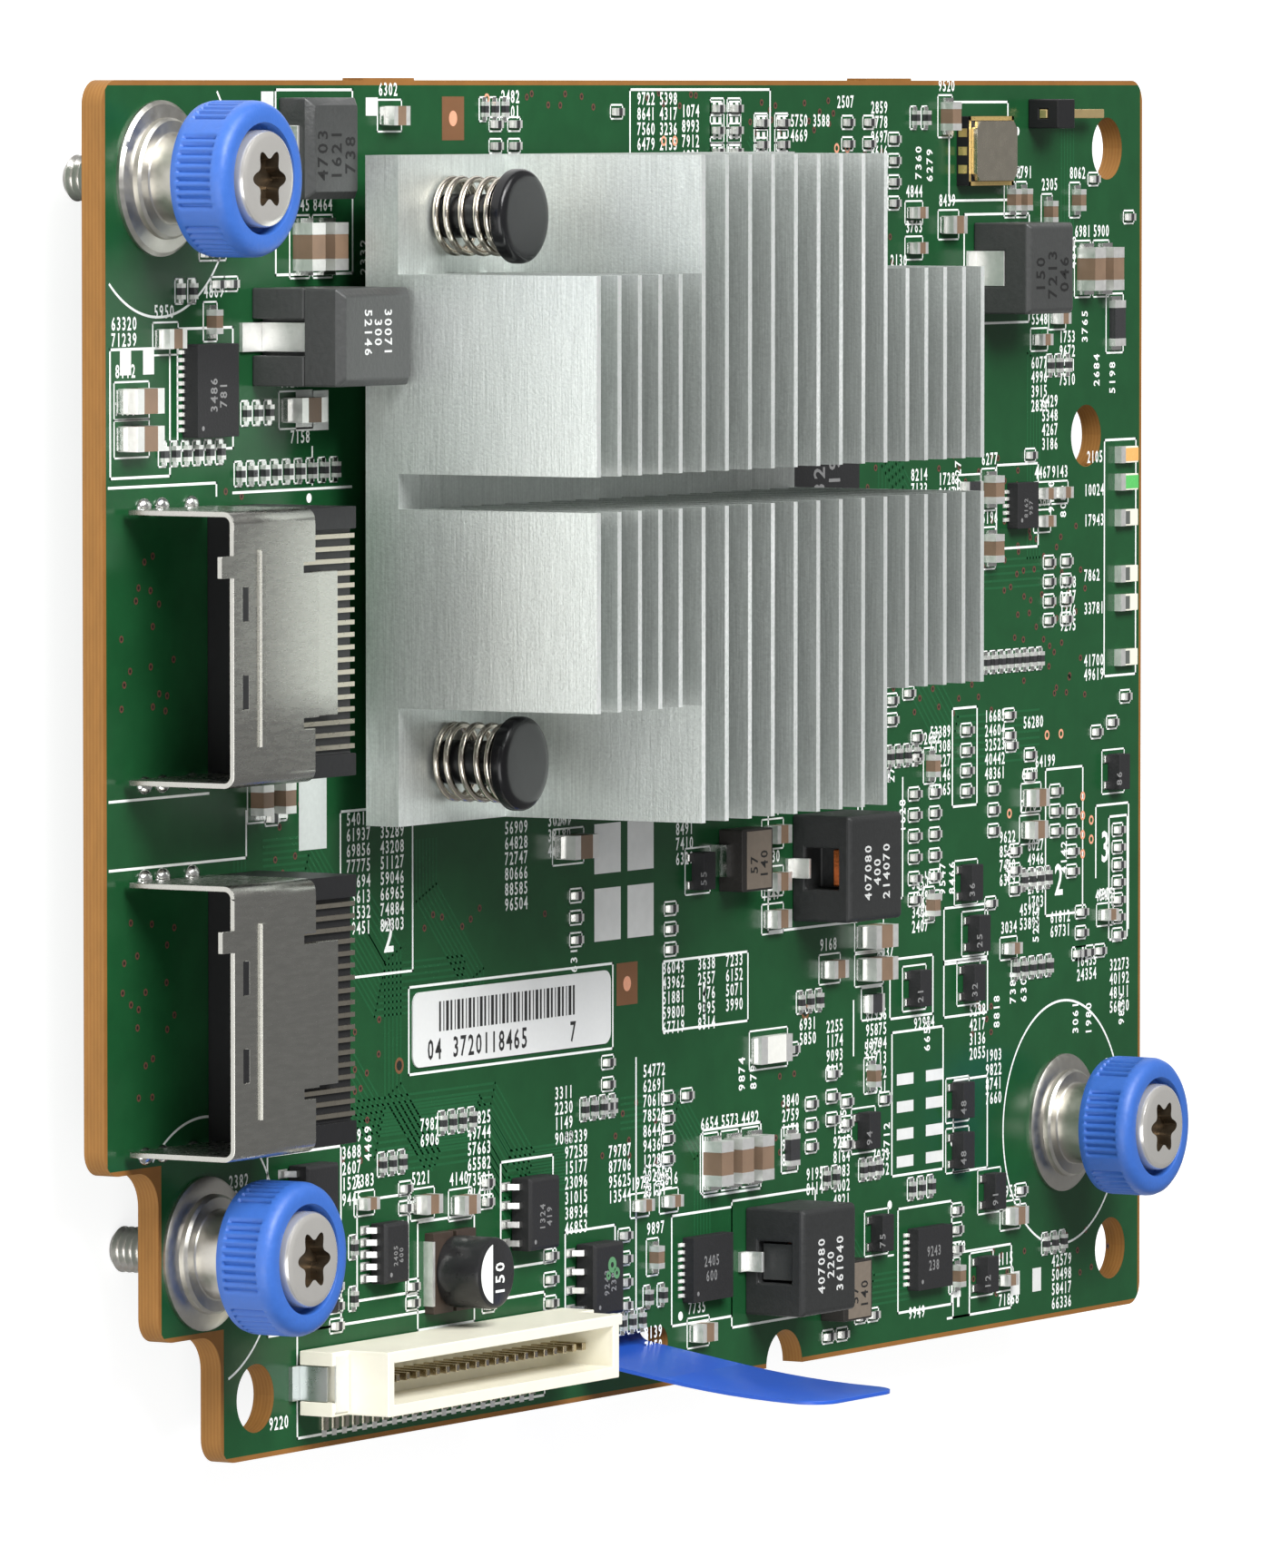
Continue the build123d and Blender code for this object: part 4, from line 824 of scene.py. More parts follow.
for k in (1, 2, 3):
    centre, low, high = seat_heights(f"screw_ferrule_{k}")
    shape = bmesh.new()
    levels = [(1.28, low), (2.6, low), (2.6, 0.0), (5.0, 0.0), (5.0, 0.22), (4.75, 0.42), (4.1, 0.5),
              (3.9, 0.56), (3.88, 0.9), (3.7, 1.08), (2.98, 1.12), (2.9, 1.2), (2.9, high - 0.1),
              (2.82, high), (2.52, high), (2.45, high - 0.08), (2.45, 0.6), (1.28, 0.6)]
    ends = turned_part(shape, centre, levels, 72)
    bmesh.ops.bridge_loops(shape, edges=ends[0] + ends[1])
    bmesh.ops.recalc_face_normals(shape, faces=shape.faces)
    ferrule = piece(f"ferrule_{k}", shape, tinned, "card", 32)
    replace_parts(ferrule, f"screw_ferrule_{k}")

    screw_centre, screw_low, screw_high = seat_heights(f"captive_screw_{k}")
    shape = bmesh.new()
    thread_top = low - 0.03
    levels = [(1.15, screw_low), (thread_radius, screw_low + 0.35)]
    turns = int((thread_top - screw_low - thread_pitch) / thread_pitch)
    for turn in range(turns):
        z = screw_low + 0.4 + turn * thread_pitch
        levels += [(thread_radius, z), (thread_root, z + thread_pitch / 2)]
    levels += [(thread_radius, thread_top), (1.2, thread_top), (1.2, neck_low), (2.1, neck_low),
               (2.1, neck_high), (3.0, neck_high), (3.1, neck_high + 0.12), (3.1, screw_high - 0.3),
               (3.0, screw_high - 0.12), (2.8, screw_high - 0.02), (2.62, screw_high)]
    first, last = turned_part(shape, screw_centre, levels, 96)
    rim_edges = lobed(shape, screw_centre, screw_high, 1.95, 1.3)
    floor_edges = lobed(shape, screw_centre, screw_high - drive_depth, 1.9, 1.25)
    bmesh.ops.bridge_loops(shape, edges=last + rim_edges)
    bmesh.ops.bridge_loops(shape, edges=rim_edges + floor_edges)
    close_part(shape, first, floor_edges)
    # A cup of painted shade lines the drive's recess, from just under its rim down to its floor.
    shade = bmesh.new()
    shade_rim = lobed(shade, screw_centre, screw_high - 0.01, 1.93, 1.28)
    shade_edges = lobed(shade, screw_centre, screw_high - drive_depth + 0.06, 1.8, 1.18)
    bmesh.ops.bridge_loops(shade, edges=shade_rim + shade_edges)
    close_part(shade, shade_edges)
    face_up(shade)
    piece(f"drive_recess_painted_shade_{k}", shade, drive_painted_shade, f"thumbscrew_{k}")
    screw = piece(f"screw_{k}", shape, screw_steel, f"thumbscrew_{k}", 30)
    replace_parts(screw, f"captive_screw_{k}")

    knob_centre, knob_low, knob_high = seat_heights(f"screw_knob_{k}")
    shape = bmesh.new()
    levels = [(3.2, knob_low), (4.62, knob_low), (4.9, knob_low + 0.12), (4.98, knob_low + 0.4),
              (5.0, knob_low + 0.62), (5.0, knob_low + 0.75), (5.0, knob_high - 1.15),
              (5.0, knob_high - 0.95), (4.98, knob_high - 0.7), (4.84, knob_high - 0.34),
              (4.6, knob_high - 0.12), (4.3, knob_high - 0.02), (3.95, knob_high), (3.62, knob_high - 0.03),
              (3.55, knob_high - 0.15), (3.55, neck_high), (2.12, neck_high), (2.12, neck_low),
              (3.2, neck_low)]
    ends = turned_part(shape, knob_centre, levels, 270)
    bmesh.ops.bridge_loops(shape, edges=ends[0] + ends[1])
    for v in shape.verts:
        away = Vector((v.co.x - knob_centre.x, v.co.y - knob_centre.y))
        height = (v.co.z - mask_face) / mm
        if away.length > 4.97 * mm and knob_low + 0.7 < height < knob_high - 1.05:
            pull = 1 - groove_depth * mm * groove_share(atan2(away.y, away.x)) / away.length
            v.co.x = knob_centre.x + away.x * pull
            v.co.y = knob_centre.y + away.y * pull
    bmesh.ops.recalc_face_normals(shape, faces=shape.faces)
    knob = piece(f"knob_{k}", shape, knob_blue, f"thumbscrew_{k}", 38)
    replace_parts(knob, f"screw_knob_{k}")

    spring_centre, spring_low, spring_high = seat_heights(f"screw_spring_{k}")
    coil = bmesh.new()
    wound_wire(coil, spring_centre, 2.1, 0.38, spring_low, spring_high - spring_play, 5.0)
    spring = piece(f"screw_spring_wire_{k}", coil, spring_plating, "card", 60)
    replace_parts(spring, f"screw_spring_{k}")
    length = spring_high - spring_low
    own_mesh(spring)

# Drive connectors
# A folded shell of plated sheet with pierced slots, a raised rib and a tongue that clips over the black
# housing behind it. The contacts run over the housing and down to the card in one row. Dark patches stand
# for the shade in the slots.
shell_plating = finish("plated_sheet", (0.47, 0.465, 0.43), 0.27, 1.0, spread=0.12, cells=(0.6, 3.0, 3.0),
                       rough_spread=0.10, relief=0.05)
housing_black = finish("housing_moulding", (0.012, 0.012, 0.013), 0.45, specular=0.3, spread=0.15,
                       cells=(2.0, 2.0, 2.0), relief=0.12)
contact_plating = finish("contact_plating", (0.50, 0.46, 0.38), 0.3, 1.0, spread=0.1, cells=(3.0, 3.0, 3.0),
                         relief=0.05)
solder = finish("solder", (0.74, 0.74, 0.72), 0.2, 1.0, spread=0.15, cells=(1.5, 1.5, 1.5), rough_spread=0.18,
                relief=0.4)
joints_of_solder = bmesh.new()
slot_shades = bmesh.new()
for name in ("upper", "lower"):
    dress(f"drive_port_shell_{name}", shell_plating, 0.05)
    dress(f"drive_port_housing_{name}", housing_black, 0.08)
    dress(f"drive_port_contacts_{name}", contact_plating)
    low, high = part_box(f"drive_port_shell_{name}")
    top, bottom = on_card(high)[1], on_card(low)[1]
    for along in (5.9, 11.5):
        patch(slot_shades, 3.2, top + along, 0.72, 2.16, on_card(high)[2] - 0.22)
    for x in (4.3, 6.4, 9.9):
        for y in (top - 0.1, bottom + 0.1):
            made = bmesh.ops.create_uvsphere(joints_of_solder, u_segments=14, v_segments=8,
                                             radius=1.0)["verts"]
            size = Matrix.Diagonal((0.75 * mm, 0.62 * mm, 0.5 * mm, 1))
            bmesh.ops.transform(joints_of_solder, matrix=Matrix.Translation(card_point(x, y)) @ size,
                                verts=made)
face_up(slot_shades)
piece("slot_shades", slot_shades, housing_black)
piece("shell_solder", joints_of_solder, solder, smooth=60)

# Wire connector
# An open shroud of ivory nylon with one row of gold contacts, held to the card by a tinned anchor at each
# end. Its contacts' tails lie on their pads along the card's front edge.
ivory_nylon = finish("ivory_nylon", (0.82, 0.79, 0.66), 0.42, spread=0.05, cells=(1.0, 1.0, 1.0), relief=0.08)
gold = finish("gold_plate", (0.72, 0.56, 0.30), 0.25, 1.0, spread=0.1, cells=(3.0, 3.0, 3.0), relief=0.05)
dress("wire_connector_housing", ivory_nylon, 0.08)
blade_plating = finish("blade_plating", (0.50, 0.43, 0.30), 0.25, 1.0, cells=(3.0, 3.0, 3.0), relief=0.05)
dress("wire_connector_contacts", blade_plating, 0.05)
dress("wire_connector_anchors", finish("anchor_tin", (0.55, 0.58, 0.57), 0.3, 1.0, relief=0.05), 0.03)


def block(mesh, x, y, z, length, width, height):
    """A box standing at z above the mask, centred on x and y, in millimetres."""
    size = Matrix.Diagonal((length * mm, width * mm, height * mm, 1.0))
    bmesh.ops.create_cube(mesh, size=1.0, matrix=Matrix.Translation(card_point(x, y, z + height / 2)) @ size)


folds = bmesh.new()
for x in (23.4, 54.6):
    block(folds, x, 84.72, 2.9, 1.6, 3.7, 0.12)
piece("anchor_folds", folds, bright_tin)
tails = bmesh.new()
wire_pads = bmesh.new()
contact_count, contact_pitch = 22, 1.25
for k in range(contact_count):
    x = 25.9 + contact_pitch * k
    block(tails, x, 87.4, 0.02, 0.42, 1.5, 0.22)
    patch(wire_pads, x, 87.75, 0.6, 1.7, 0.016)
face_up(wire_pads)
piece("wire_contact_tails", tails, contact_plating)
piece("wire_contact_pads", wire_pads, bright_tin)

# Pull strip
# A tab of blue polyester film. One end is bonded under the card, and it comes up through the slot.
film_blue = (0.022, 0.105, 0.56)
film, film_tree, film_shader = new_finish("blue_film", film_blue, 0.32)
make_uneven(film_tree, film_shader, film_blue, spread=0.08, cells=(0.3, 0.3, 0.3), roughness=0.32,
            rough_spread=0.06, relief=0.05)
film_shader.inputs["Transmission Weight"].default_value = 0.12
dress("pull_strip", film, 0.03)

# Inductors
# Grey ferrite blocks on tinned straps. Two are power inductors with a window on each side that shows the
# flat copper coil, one is drawn in two halves with a gap for its strap, and one is a drum on a square base.
ferrite = finish("ferrite", (0.024, 0.025, 0.025), 0.5, specular=0.35, spread=0.25, cells=(2.5, 2.5, 2.5),
                 rough_spread=0.12, relief=0.35)
ferrite_pale = finish("ground_ferrite", (0.050, 0.052, 0.051), 0.38, specular=0.4, spread=0.2,
                      cells=(3.0, 3.0, 3.0), rough_spread=0.1, relief=0.3)
mark_grey = finish("mark_ink", (0.62, 0.63, 0.62), 0.6, relief=0.0)
for name in ("tall_inductor_base", "tall_inductor_cap", "low_inductor_core", "edge_inductor_core"):
    dress(name, ferrite_pale, 0.12)
dress("power_inductor_cores", ferrite, 0.15)
dress("inductor_leads", bright_tin, 0.03)
enamelled_copper = finish("enamelled_copper", (0.50, 0.13, 0.035), 0.22, 0.8, cells=(3.0, 3.0, 3.0))
dress("power_inductor_coils", enamelled_copper, 0.08)
base_moulding = finish("base_moulding", (0.045, 0.030, 0.022), 0.5, spread=0.3, cells=(1.5, 1.5, 1.5))
dress("drum_inductor_base", base_moulding, 0.05)
left, top, right, bottom, low, high = solids_of("power_inductor_cores")[0]
blocks = bmesh.new()
block(blocks, left + 1.3, (top + bottom) / 2, 1.15, 1.6, 2.5, 2.3)
piece("window_block", blocks, ferrite_pale)
base_edges = bmesh.new()
left, top, right, bottom, low, high = solids_of("drum_inductor_base")[0]
for x in (left, right):
    block(base_edges, x, (top + bottom) / 2, 0.0, 0.3, (bottom - top) * 0.8, high + 0.02)
piece("base_edges", base_edges, bright_tin)
drum_centre, drum_low, drum_high = seat_heights("drum_inductor_core")
drum = bmesh.new()
drum_levels = [(2.36, drum_low), (2.4, drum_low + 0.2), (2.4, drum_high - 0.3), (2.32, drum_high - 0.1),
               (2.12, drum_high)]
close_part(drum, *turned_part(drum, drum_centre, drum_levels))
drum_ferrite = finish("drum_ferrite", (0.016, 0.016, 0.017), 0.3, spread=0.2, cells=(2.0, 2.0, 2.0),
                      relief=0.2)
drum_piece = piece("drum_core", drum, drum_ferrite, "card", 32)
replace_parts(drum_piece, "drum_inductor_core")
part_marks = bmesh.new()
dark_marks = bmesh.new()
white_marks = bmesh.new()
half_disc = Matrix.Translation(drum_centre + Vector((0, 0, (drum_high + 0.01) * mm)))
bmesh.ops.create_circle(white_marks, cap_ends=True, segments=40, radius=2.05 * mm, matrix=half_disc)
bmesh.ops.bisect_plane(white_marks, geom=white_marks.faces[:] + white_marks.edges[:] + white_marks.verts[:],
                       plane_co=drum_centre - Vector((0.55 * mm, 0, 0)), plane_no=(1, 0, 0), clear_outer=True)


def mark_rows(mesh, node, rows, height, turn=0.0, index=0, shift=0.0):
    """Rows of plain numbers on top of one solid of a node."""
    left, top, right, bottom, low, high = solids_of(node)[index]
    middle_x, middle_y = (left + right) / 2, (top + bottom) / 2
    for k, text in enumerate(rows):
        along = len(text) * height * digit_advance / 2
        across = (k - (len(rows) - 1) / 2) * height * 1.35
        if turn == 90.0:
            number(mesh, text, middle_x + across + height / 2 + shift, middle_y + along, height, high + 0.01,
                   90.0)
        elif turn == -90.0:
            number(mesh, text, middle_x - across - height / 2, middle_y - along, height, high + 0.01, -90.0)
        else:
            number(mesh, text, middle_x - along, middle_y + across + height / 2, height, high + 0.01)


mark_rows(dark_marks, "low_inductor_core", ("4703", "1621", "738"), 1.25, 90.0)
mark_rows(part_marks, "tall_inductor_cap", ("30071", "300", "52146"), 0.9, -90.0)
mark_rows(dark_marks, "edge_inductor_core", ("150", "7213", "046"), 1.3, 90.0)
mark_rows(part_marks, "power_inductor_cores", ("407080", "220", "361040"), 0.95, 90.0, 0)
mark_rows(part_marks, "power_inductor_cores", ("407080", "400", "214070"), 0.95, 90.0, 1)
mark_rows(white_marks, "drum_inductor_core", ("150",), 1.15, 90.0, shift=0.35)
for marks_mesh in (part_marks, dark_marks, white_marks):
    face_up(marks_mesh)
dark_ink = finish("dark_ink", (0.008, 0.008, 0.008), 0.7, relief=0.0)
piece("part_numbers", part_marks, mark_grey)
piece("dark_part_numbers", dark_marks, dark_ink)
piece("white_part_numbers", white_marks, print_white)

# Integrated circuits
# Moulded packages on tinned legs or flat on their pads, with faint laser numbers, and the oscillator under
# its metal lid with a gold seal ring.
lead_tin = finish("lead_tin", (0.66, 0.66, 0.64), 0.32, 1.0, spread=0.15, cells=(4.0, 4.0, 4.0), relief=0.1)
dress("leaded_packages", moulding_black, 0.06)
dress("flat_packages", moulding_black, 0.06)
dress("oscillator_body", housing_black, 0.05)
left, top, right, bottom, low, high = solids_of("oscillator_body")[0]
seal = bmesh.new()
middle_x, middle_y = (left + right) / 2, (top + bottom) / 2
for x in (left + 0.16, right - 0.16):
    patch(seal, x, middle_y, 0.3, bottom - top - 0.02, high + 0.008)
for y in (top + 0.16, bottom - 0.16):
    patch(seal, middle_x, y, right - left - 0.02, 0.3, high + 0.008)
face_up(seal)
for k in (-1, 0, 1):
    block(seal, left, middle_y + k * 1.3, 0.15, 0.04, 0.6, high - 0.3)
seal_gold = finish("seal_gold", (0.95, 0.68, 0.26), 0.3, 0.8, cells=(3.0, 3.0, 3.0), relief=0.05)
piece("seal_ring", seal, seal_gold)
lid_plate = finish("lid_plate", (0.72, 0.66, 0.54), 0.26, 1.0, spread=0.12, cells=(1.0, 1.0, 1.0),
                   rough_spread=0.12)
dress("oscillator_lid", lid_plate, 0.05)
package_pads = bmesh.new()
package_contacts = bmesh.new()
laser_marks = bmesh.new()
for node in ("leaded_packages", "flat_packages"):
    for index, (left, top, right, bottom, low, high) in enumerate(solids_of(node)):
        size = min(right - left, bottom - top)
        rows = (plain_number(index + 3, 4), plain_number(index + 8, 3))
        mark_rows(laser_marks, node, rows, size * 0.17, 90.0 if bottom - top > right - left else 0.0, index)
        disc(laser_marks, left + 0.6, bottom - 0.6, 0.16, high + 0.01)
        if node == "flat_packages":
            pitch = 0.5 if size < 6 else 0.8
            for edge_x, way in ((left, -1), (right, 1)):
                count = int((bottom - top - 0.8) / pitch)
                for k in range(count + 1):
                    y = (top + bottom) / 2 + (k - count / 2) * pitch
                    block(package_contacts, edge_x, y, 0.0, 0.3, pitch * 0.5, 0.25)
                    patch(package_pads, edge_x + way * 0.3, y, 0.7, pitch * 0.55, 0.016)
face_up(laser_marks)
laser_mark = finish("laser_mark", (0.20, 0.20, 0.20), 0.7, relief=0.0)
piece("laser_numbers", laser_marks, laser_mark)
bodies = solids_of("leaded_packages")
left, top, right, bottom, low, high = bodies[-1]
dots = bmesh.new()
for dx, dy, radius in ((2.2, 1.5, 0.55), (2.8, 2.1, 0.4), (1.7, 2.2, 0.3)):
    ring(dots, left + dx, top + dy, radius, radius * 0.35, high + 0.014, 16)
face_up(dots)
piece("ink_dots", dots, finish("green_ink", (0.10, 0.26, 0.12), 0.6, relief=0.0))
gull_legs = bmesh.new()
for left, top, right, bottom, low, high in solids_of("package_legs"):
    way = 1 if any(abs(left - body[2]) < 0.05 for body in bodies) else -1
    middle, y, width = (left + right) / 2, (top + bottom) / 2, bottom - top
    inner = left if way > 0 else right
    block(gull_legs, inner + way * 0.18, y, high - 0.2, 0.36, width, 0.2)
    block(gull_legs, inner + way * 0.82, y, 0.0, 0.36, width, 0.2)
    slope = bmesh.ops.create_cube(gull_legs, size=1.0)["verts"]
    for v in slope:
        upper = v.co.x * way < 0
        x = inner + way * ((0.30 if upper else 0.66) + v.co.z * 0.16)
        z = (high - 0.1 if upper else 0.1) + v.co.z * 0.2
        v.co = card_point(x, y - v.co.y * width, z)
    patch(package_pads, middle + way * 0.15, y, 1.1, width + 0.2, 0.016)
bmesh.ops.recalc_face_normals(gull_legs, faces=gull_legs.faces)
legs_piece = piece("gull_wing_legs", gull_legs, lead_tin)
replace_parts(legs_piece, "package_legs")
face_up(package_pads)
piece("package_pads", package_pads, bright_tin)
piece("package_contacts", package_contacts, lead_tin)

# Capacitors, resistors and transistors
# Ceramic chips with tinned ends on solder fillets, brown for capacitors and black for resistors, moulded
# tantalum capacitors with a stripe at one end, and small moulded transistors.
ceramic_brown = finish("capacitor_ceramic", (0.205, 0.135, 0.088), 0.45, spread=0.3, cells=(0.4, 0.4, 0.4),
                       relief=0.15)
resistor_black = finish("resistor_glaze", (0.03, 0.03, 0.032), 0.3, spread=0.2, cells=(2.0, 2.0, 2.0),
                        relief=0.1)
dress("ceramic_capacitors", ceramic_brown)
dress("chip_resistors", resistor_black)
dress("transistors", moulding_black, 0.06)
tantalum_moulding = finish("tantalum_moulding", (0.022, 0.020, 0.018), 0.5, specular=0.3,
                           cells=(3.0, 3.0, 3.0), relief=0.3)
dress("tantalum_capacitors", tantalum_moulding, 0.1)
chip_ends = bmesh.new()
chip_solder = bmesh.new()


def end_caps(left, top, right, bottom, high, share):
    """The two tinned ends of a chip, each with its solder on the pad."""
    along_x = right - left > bottom - top
    length = right - left if along_x else bottom - top
    width = bottom - top if along_x else right - left
    cap = length * share
    for way in (-1, 1):
        shift = way * (length / 2 - cap / 2)
        foot = way * (length / 2 + 0.14)
        x, y = (left + right) / 2, (top + bottom) / 2
        if along_x:
            block(chip_ends, x + shift, y, 0.0, cap + 0.02, width + 0.02, high + 0.01)
            block(chip_solder, x + foot, y, 0.0, 0.34, width * 0.92, high * 0.38)
        else:
            block(chip_ends, x, y + shift, 0.0, width + 0.02, cap + 0.02, high + 0.01)
            block(chip_solder, x, y + foot, 0.0, width * 0.92, 0.34, high * 0.38)


for name, share in (("ceramic_capacitors", 0.24), ("chip_resistors", 0.26), ("fuse", 0.2)):
    for left, top, right, bottom, low, high in chip_boxes[name]:
        end_caps(left, top, right, bottom, high, share)
# Each tantalum body is black, with a lighter brown-grey patch on its top that leaves a dark band at one end.
tantalum_tops = bmesh.new()
for left, top, right, bottom, low, high in solids_of("tantalum_capacitors"):
    middle_x, middle_y = (left + right) / 2, (top + bottom) / 2
    patch(tantalum_tops, middle_x + 0.2, middle_y, right - left - 0.8, bottom - top - 0.3, high + 0.008)
    for x in (left - 0.2, right + 0.2):
        block(chip_solder, x, middle_y, 0.0, 0.5, 2.2, 0.9)
face_up(tantalum_tops)
tantalum_top = finish("tantalum_top", (0.17, 0.14, 0.11), 0.5, spread=0.2, cells=(2.0, 2.0, 2.0))
piece("tantalum_tops", tantalum_tops, tantalum_top)
tantalum_marks = bmesh.new()
for index in (0, 1):
    mark_rows(tantalum_marks, "tantalum_capacitors", ("57", "140"), 1.0, 90.0, index, 0.2)
face_up(tantalum_marks)
piece("tantalum_numbers", tantalum_marks, dark_ink)
transistor_legs = bmesh.new()
transistor_marks = bmesh.new()
for left, top, right, bottom, low, high in solids_of("transistors"):
    middle = (top + bottom) / 2
    for x, y in ((left - 0.28, middle - 0.95), (left - 0.28, middle + 0.95), (right + 0.28, middle)):
        block(transistor_legs, x, y, 0.0, 0.56, 0.45, 0.15)
        block(chip_solder, x, y, 0.0, 0.8, 0.6, 0.1)
    number(transistor_marks, plain_number(int(left * 10), 2), left + 0.35, middle + 0.75, 0.8, high + 0.01,
           90.0)
piece("transistor_legs", transistor_legs, lead_tin)
face_up(transistor_marks)
piece("transistor_numbers", transistor_marks, laser_mark)
small_rows = [
    (83.0, 2.6, 2, 0.0, 1.5), (85.9, 2.6, 2, 0.0, 1.5), (95.0, 2.6, 2, 0.0, 1.5), (98.0, 2.6, 2, 0.0, 1.5),
    (110.9, 80.3, 3, 0.0, 1.4), (118.5, 45.2, 2, 0.0, 1.45), (36.9, 79.6, 2, 0.0, 1.1),
    (47.6, 2.6, 5, 0.0, 1.45), (50.0, 2.6, 3, 0.0, 1.45), (63.4, 1.8, 1, 0.0, 1.4),
    (88.6, 8.4, 4, 0.0, 1.6), (91.6, 8.8, 5, 0.0, 1.5), (99.2, 14.8, 5, 0.0, 1.6),
    (101.6, 3.8, 4, 0.0, 1.5), (106.6, 14.0, 4, 0.0, 1.5), (113.4, 18.6, 1, 1.5, 0.0),
    (121.6, 26.6, 1, 1.5, 0.0), (124.4, 34.4, 4, 0.0, 1.4), (127.0, 34.4, 4, 0.0, 1.4),
    (108.6, 34.4, 5, 0.0, 1.4), (103.8, 37.4, 5, 0.0, 1.4), (101.4, 40.6, 4, 0.0, 1.4),
    (97.6, 44.8, 3, 0.0, 1.4), (93.4, 49.6, 1, 1.6, 0.0), (118.8, 47.4, 1, 1.6, 0.0),
    (121.6, 48.2, 2, 0.0, 1.5), (116.2, 50.4, 3, 0.0, 1.5), (119.4, 55.0, 3, 0.0, 1.4),
    (115.8, 58.6, 1, 1.6, 0.0), (107.6, 50.2, 6, 0.0, 1.5), (131.6, 47.0, 1, 1.6, 0.0),
    (134.0, 46.4, 1, 1.6, 0.0), (136.0, 44.6, 1, 1.6, 0.0), (128.8, 63.0, 3, 1.7, 0.0),
    (95.0, 71.4, 3, 0.0, 1.5), (100.4, 71.6, 1, 1.6, 0.0), (90.0, 71.2, 3, 0.0, 1.5),
    (87.4, 67.2, 1, 0.0, 1.5), (70.2, 69.4, 4, 0.0, 1.4), (72.8, 69.4, 1, 0.0, 1.4),
    (62.2, 66.4, 3, 0.0, 1.5), (84.4, 47.4, 2, 0.0, 1.5), (80.2, 48.4, 2, 1.6, 0.0),
    (70.6, 56.4, 3, 0.0, 1.4), (58.0, 54.8, 3, 0.0, 1.5), (34.0, 46.8, 3, 1.8, 0.0),
    (40.0, 46.6, 3, 1.8, 0.0), (19.6, 47.6, 1, 1.6, 0.0), (26.4, 71.4, 4, 0.0, 1.3),
    (36.0, 73.0, 2, 0.0, 1.3), (46.4, 73.4, 2, 0.0, 1.3), (46.6, 80.4, 2, 0.0, 1.3),
    (27.4, 78.8, 3, 0.0, 1.3), (67.0, 87.4, 3, 2.0, 0.0), (92.4, 87.8, 2, 2.0, 0.0),
    (97.0, 86.8, 2, 1.8, 0.0), (120.4, 79.6, 2, 0.0, 1.5), (13.0, 8.6, 1, 0.0, 1.5),
    (11.8, 10.8, 2, 1.6, 0.0), (13.2, 12.8, 2, 1.6, 0.0), (131.0, 6.8, 1, 0.0, 1.4),
    (127.0, 11.4, 1, 0.0, 1.4), (125.4, 14.6, 1, 0.0, 1.4), (136.4, 9.6, 1, 0.0, 1.4),
    (105.0, 46.2, 2, 0.0, 1.4), (113.6, 36.6, 4, 0.0, 1.3),
]
turned_rows = [
    (6.6, 23.6, 6, 1.35, 0.0), (16.4, 21.2, 3, 1.4, 0.0), (114.9, 41.3, 8, 1.15, 0.0),
    (119.4, 63.6, 5, 1.25, 0.0), (97.2, 76.4, 3, 1.1, 0.0), (29.4, 76.4, 2, 0.0, 3.4),
    (104.2, 78.3, 3, 1.4, 0.0), (8.6, 13.2, 2, 1.5, 0.0), (46.0, 1.6, 3, 1.3, 0.0),
    (124.4, 20.2, 3, 1.3, 0.0), (101.0, 47.4, 4, 1.25, 0.0), (120.6, 57.2, 4, 1.2, 0.0),
    (64.0, 84.4, 3, 1.3, 0.0), (88.4, 64.0, 3, 1.3, 0.0), (133.6, 71.8, 2, 1.3, 0.0),
    (124.0, 83.8, 3, 1.3, 0.0), (92.0, 76.6, 2, 1.3, 0.0), (59.0, 69.4, 4, 1.25, 0.0),
    (40.6, 69.0, 4, 1.25, 0.0), (33.0, 71.2, 3, 1.25, 0.0),
]
small_bodies = bmesh.new()
small_print = bmesh.new()


def small_chip(x, y, length, width, height, share, margin_x, margin_y, stroke):
    """A small chip with its tinned ends, its solder and the frame printed round it."""
    left, top = x - length / 2, y - width / 2
    block(small_bodies, x, y, 0.0, length, width, height)
    end_caps(left, top, left + length, top + width, height, share)
    outline(small_print, left - margin_x, top - margin_y, length + 2 * margin_x, width + 2 * margin_y, stroke)


large_resistors = ((98.6, 64.7, 2.0, 1.3), (87.0, 74.2, 1.3, 2.2), (134.3, 17.3, 1.6, 3.3),
                   (112.6, 29.0, 2.4, 1.5))
for x, y, length, width in large_resistors:
    small_chip(x, y, length, width, 0.5, 0.16, 0.5, 0.5, 0.14)
for x, y, count, dx, dy in turned_rows:
    for k in range(count):
        small_chip(x + k * dx, y + k * dy, 0.5, 1.0, 0.36, 0.26, 0.22, 0.3, chip_stroke)
for x, y, count, dx, dy in small_rows:
    for k in range(count):
        small_chip(x + k * dx, y + k * dy, 1.0, 0.5, 0.36, 0.26, 0.3, 0.22, chip_stroke)
face_up(small_print)
piece("small_chip_bodies", small_bodies, resistor_black)
piece("small_chip_print", small_print, print_white)
piece("chip_ends", chip_ends, bright_tin)
piece("chip_solder", chip_solder, solder)

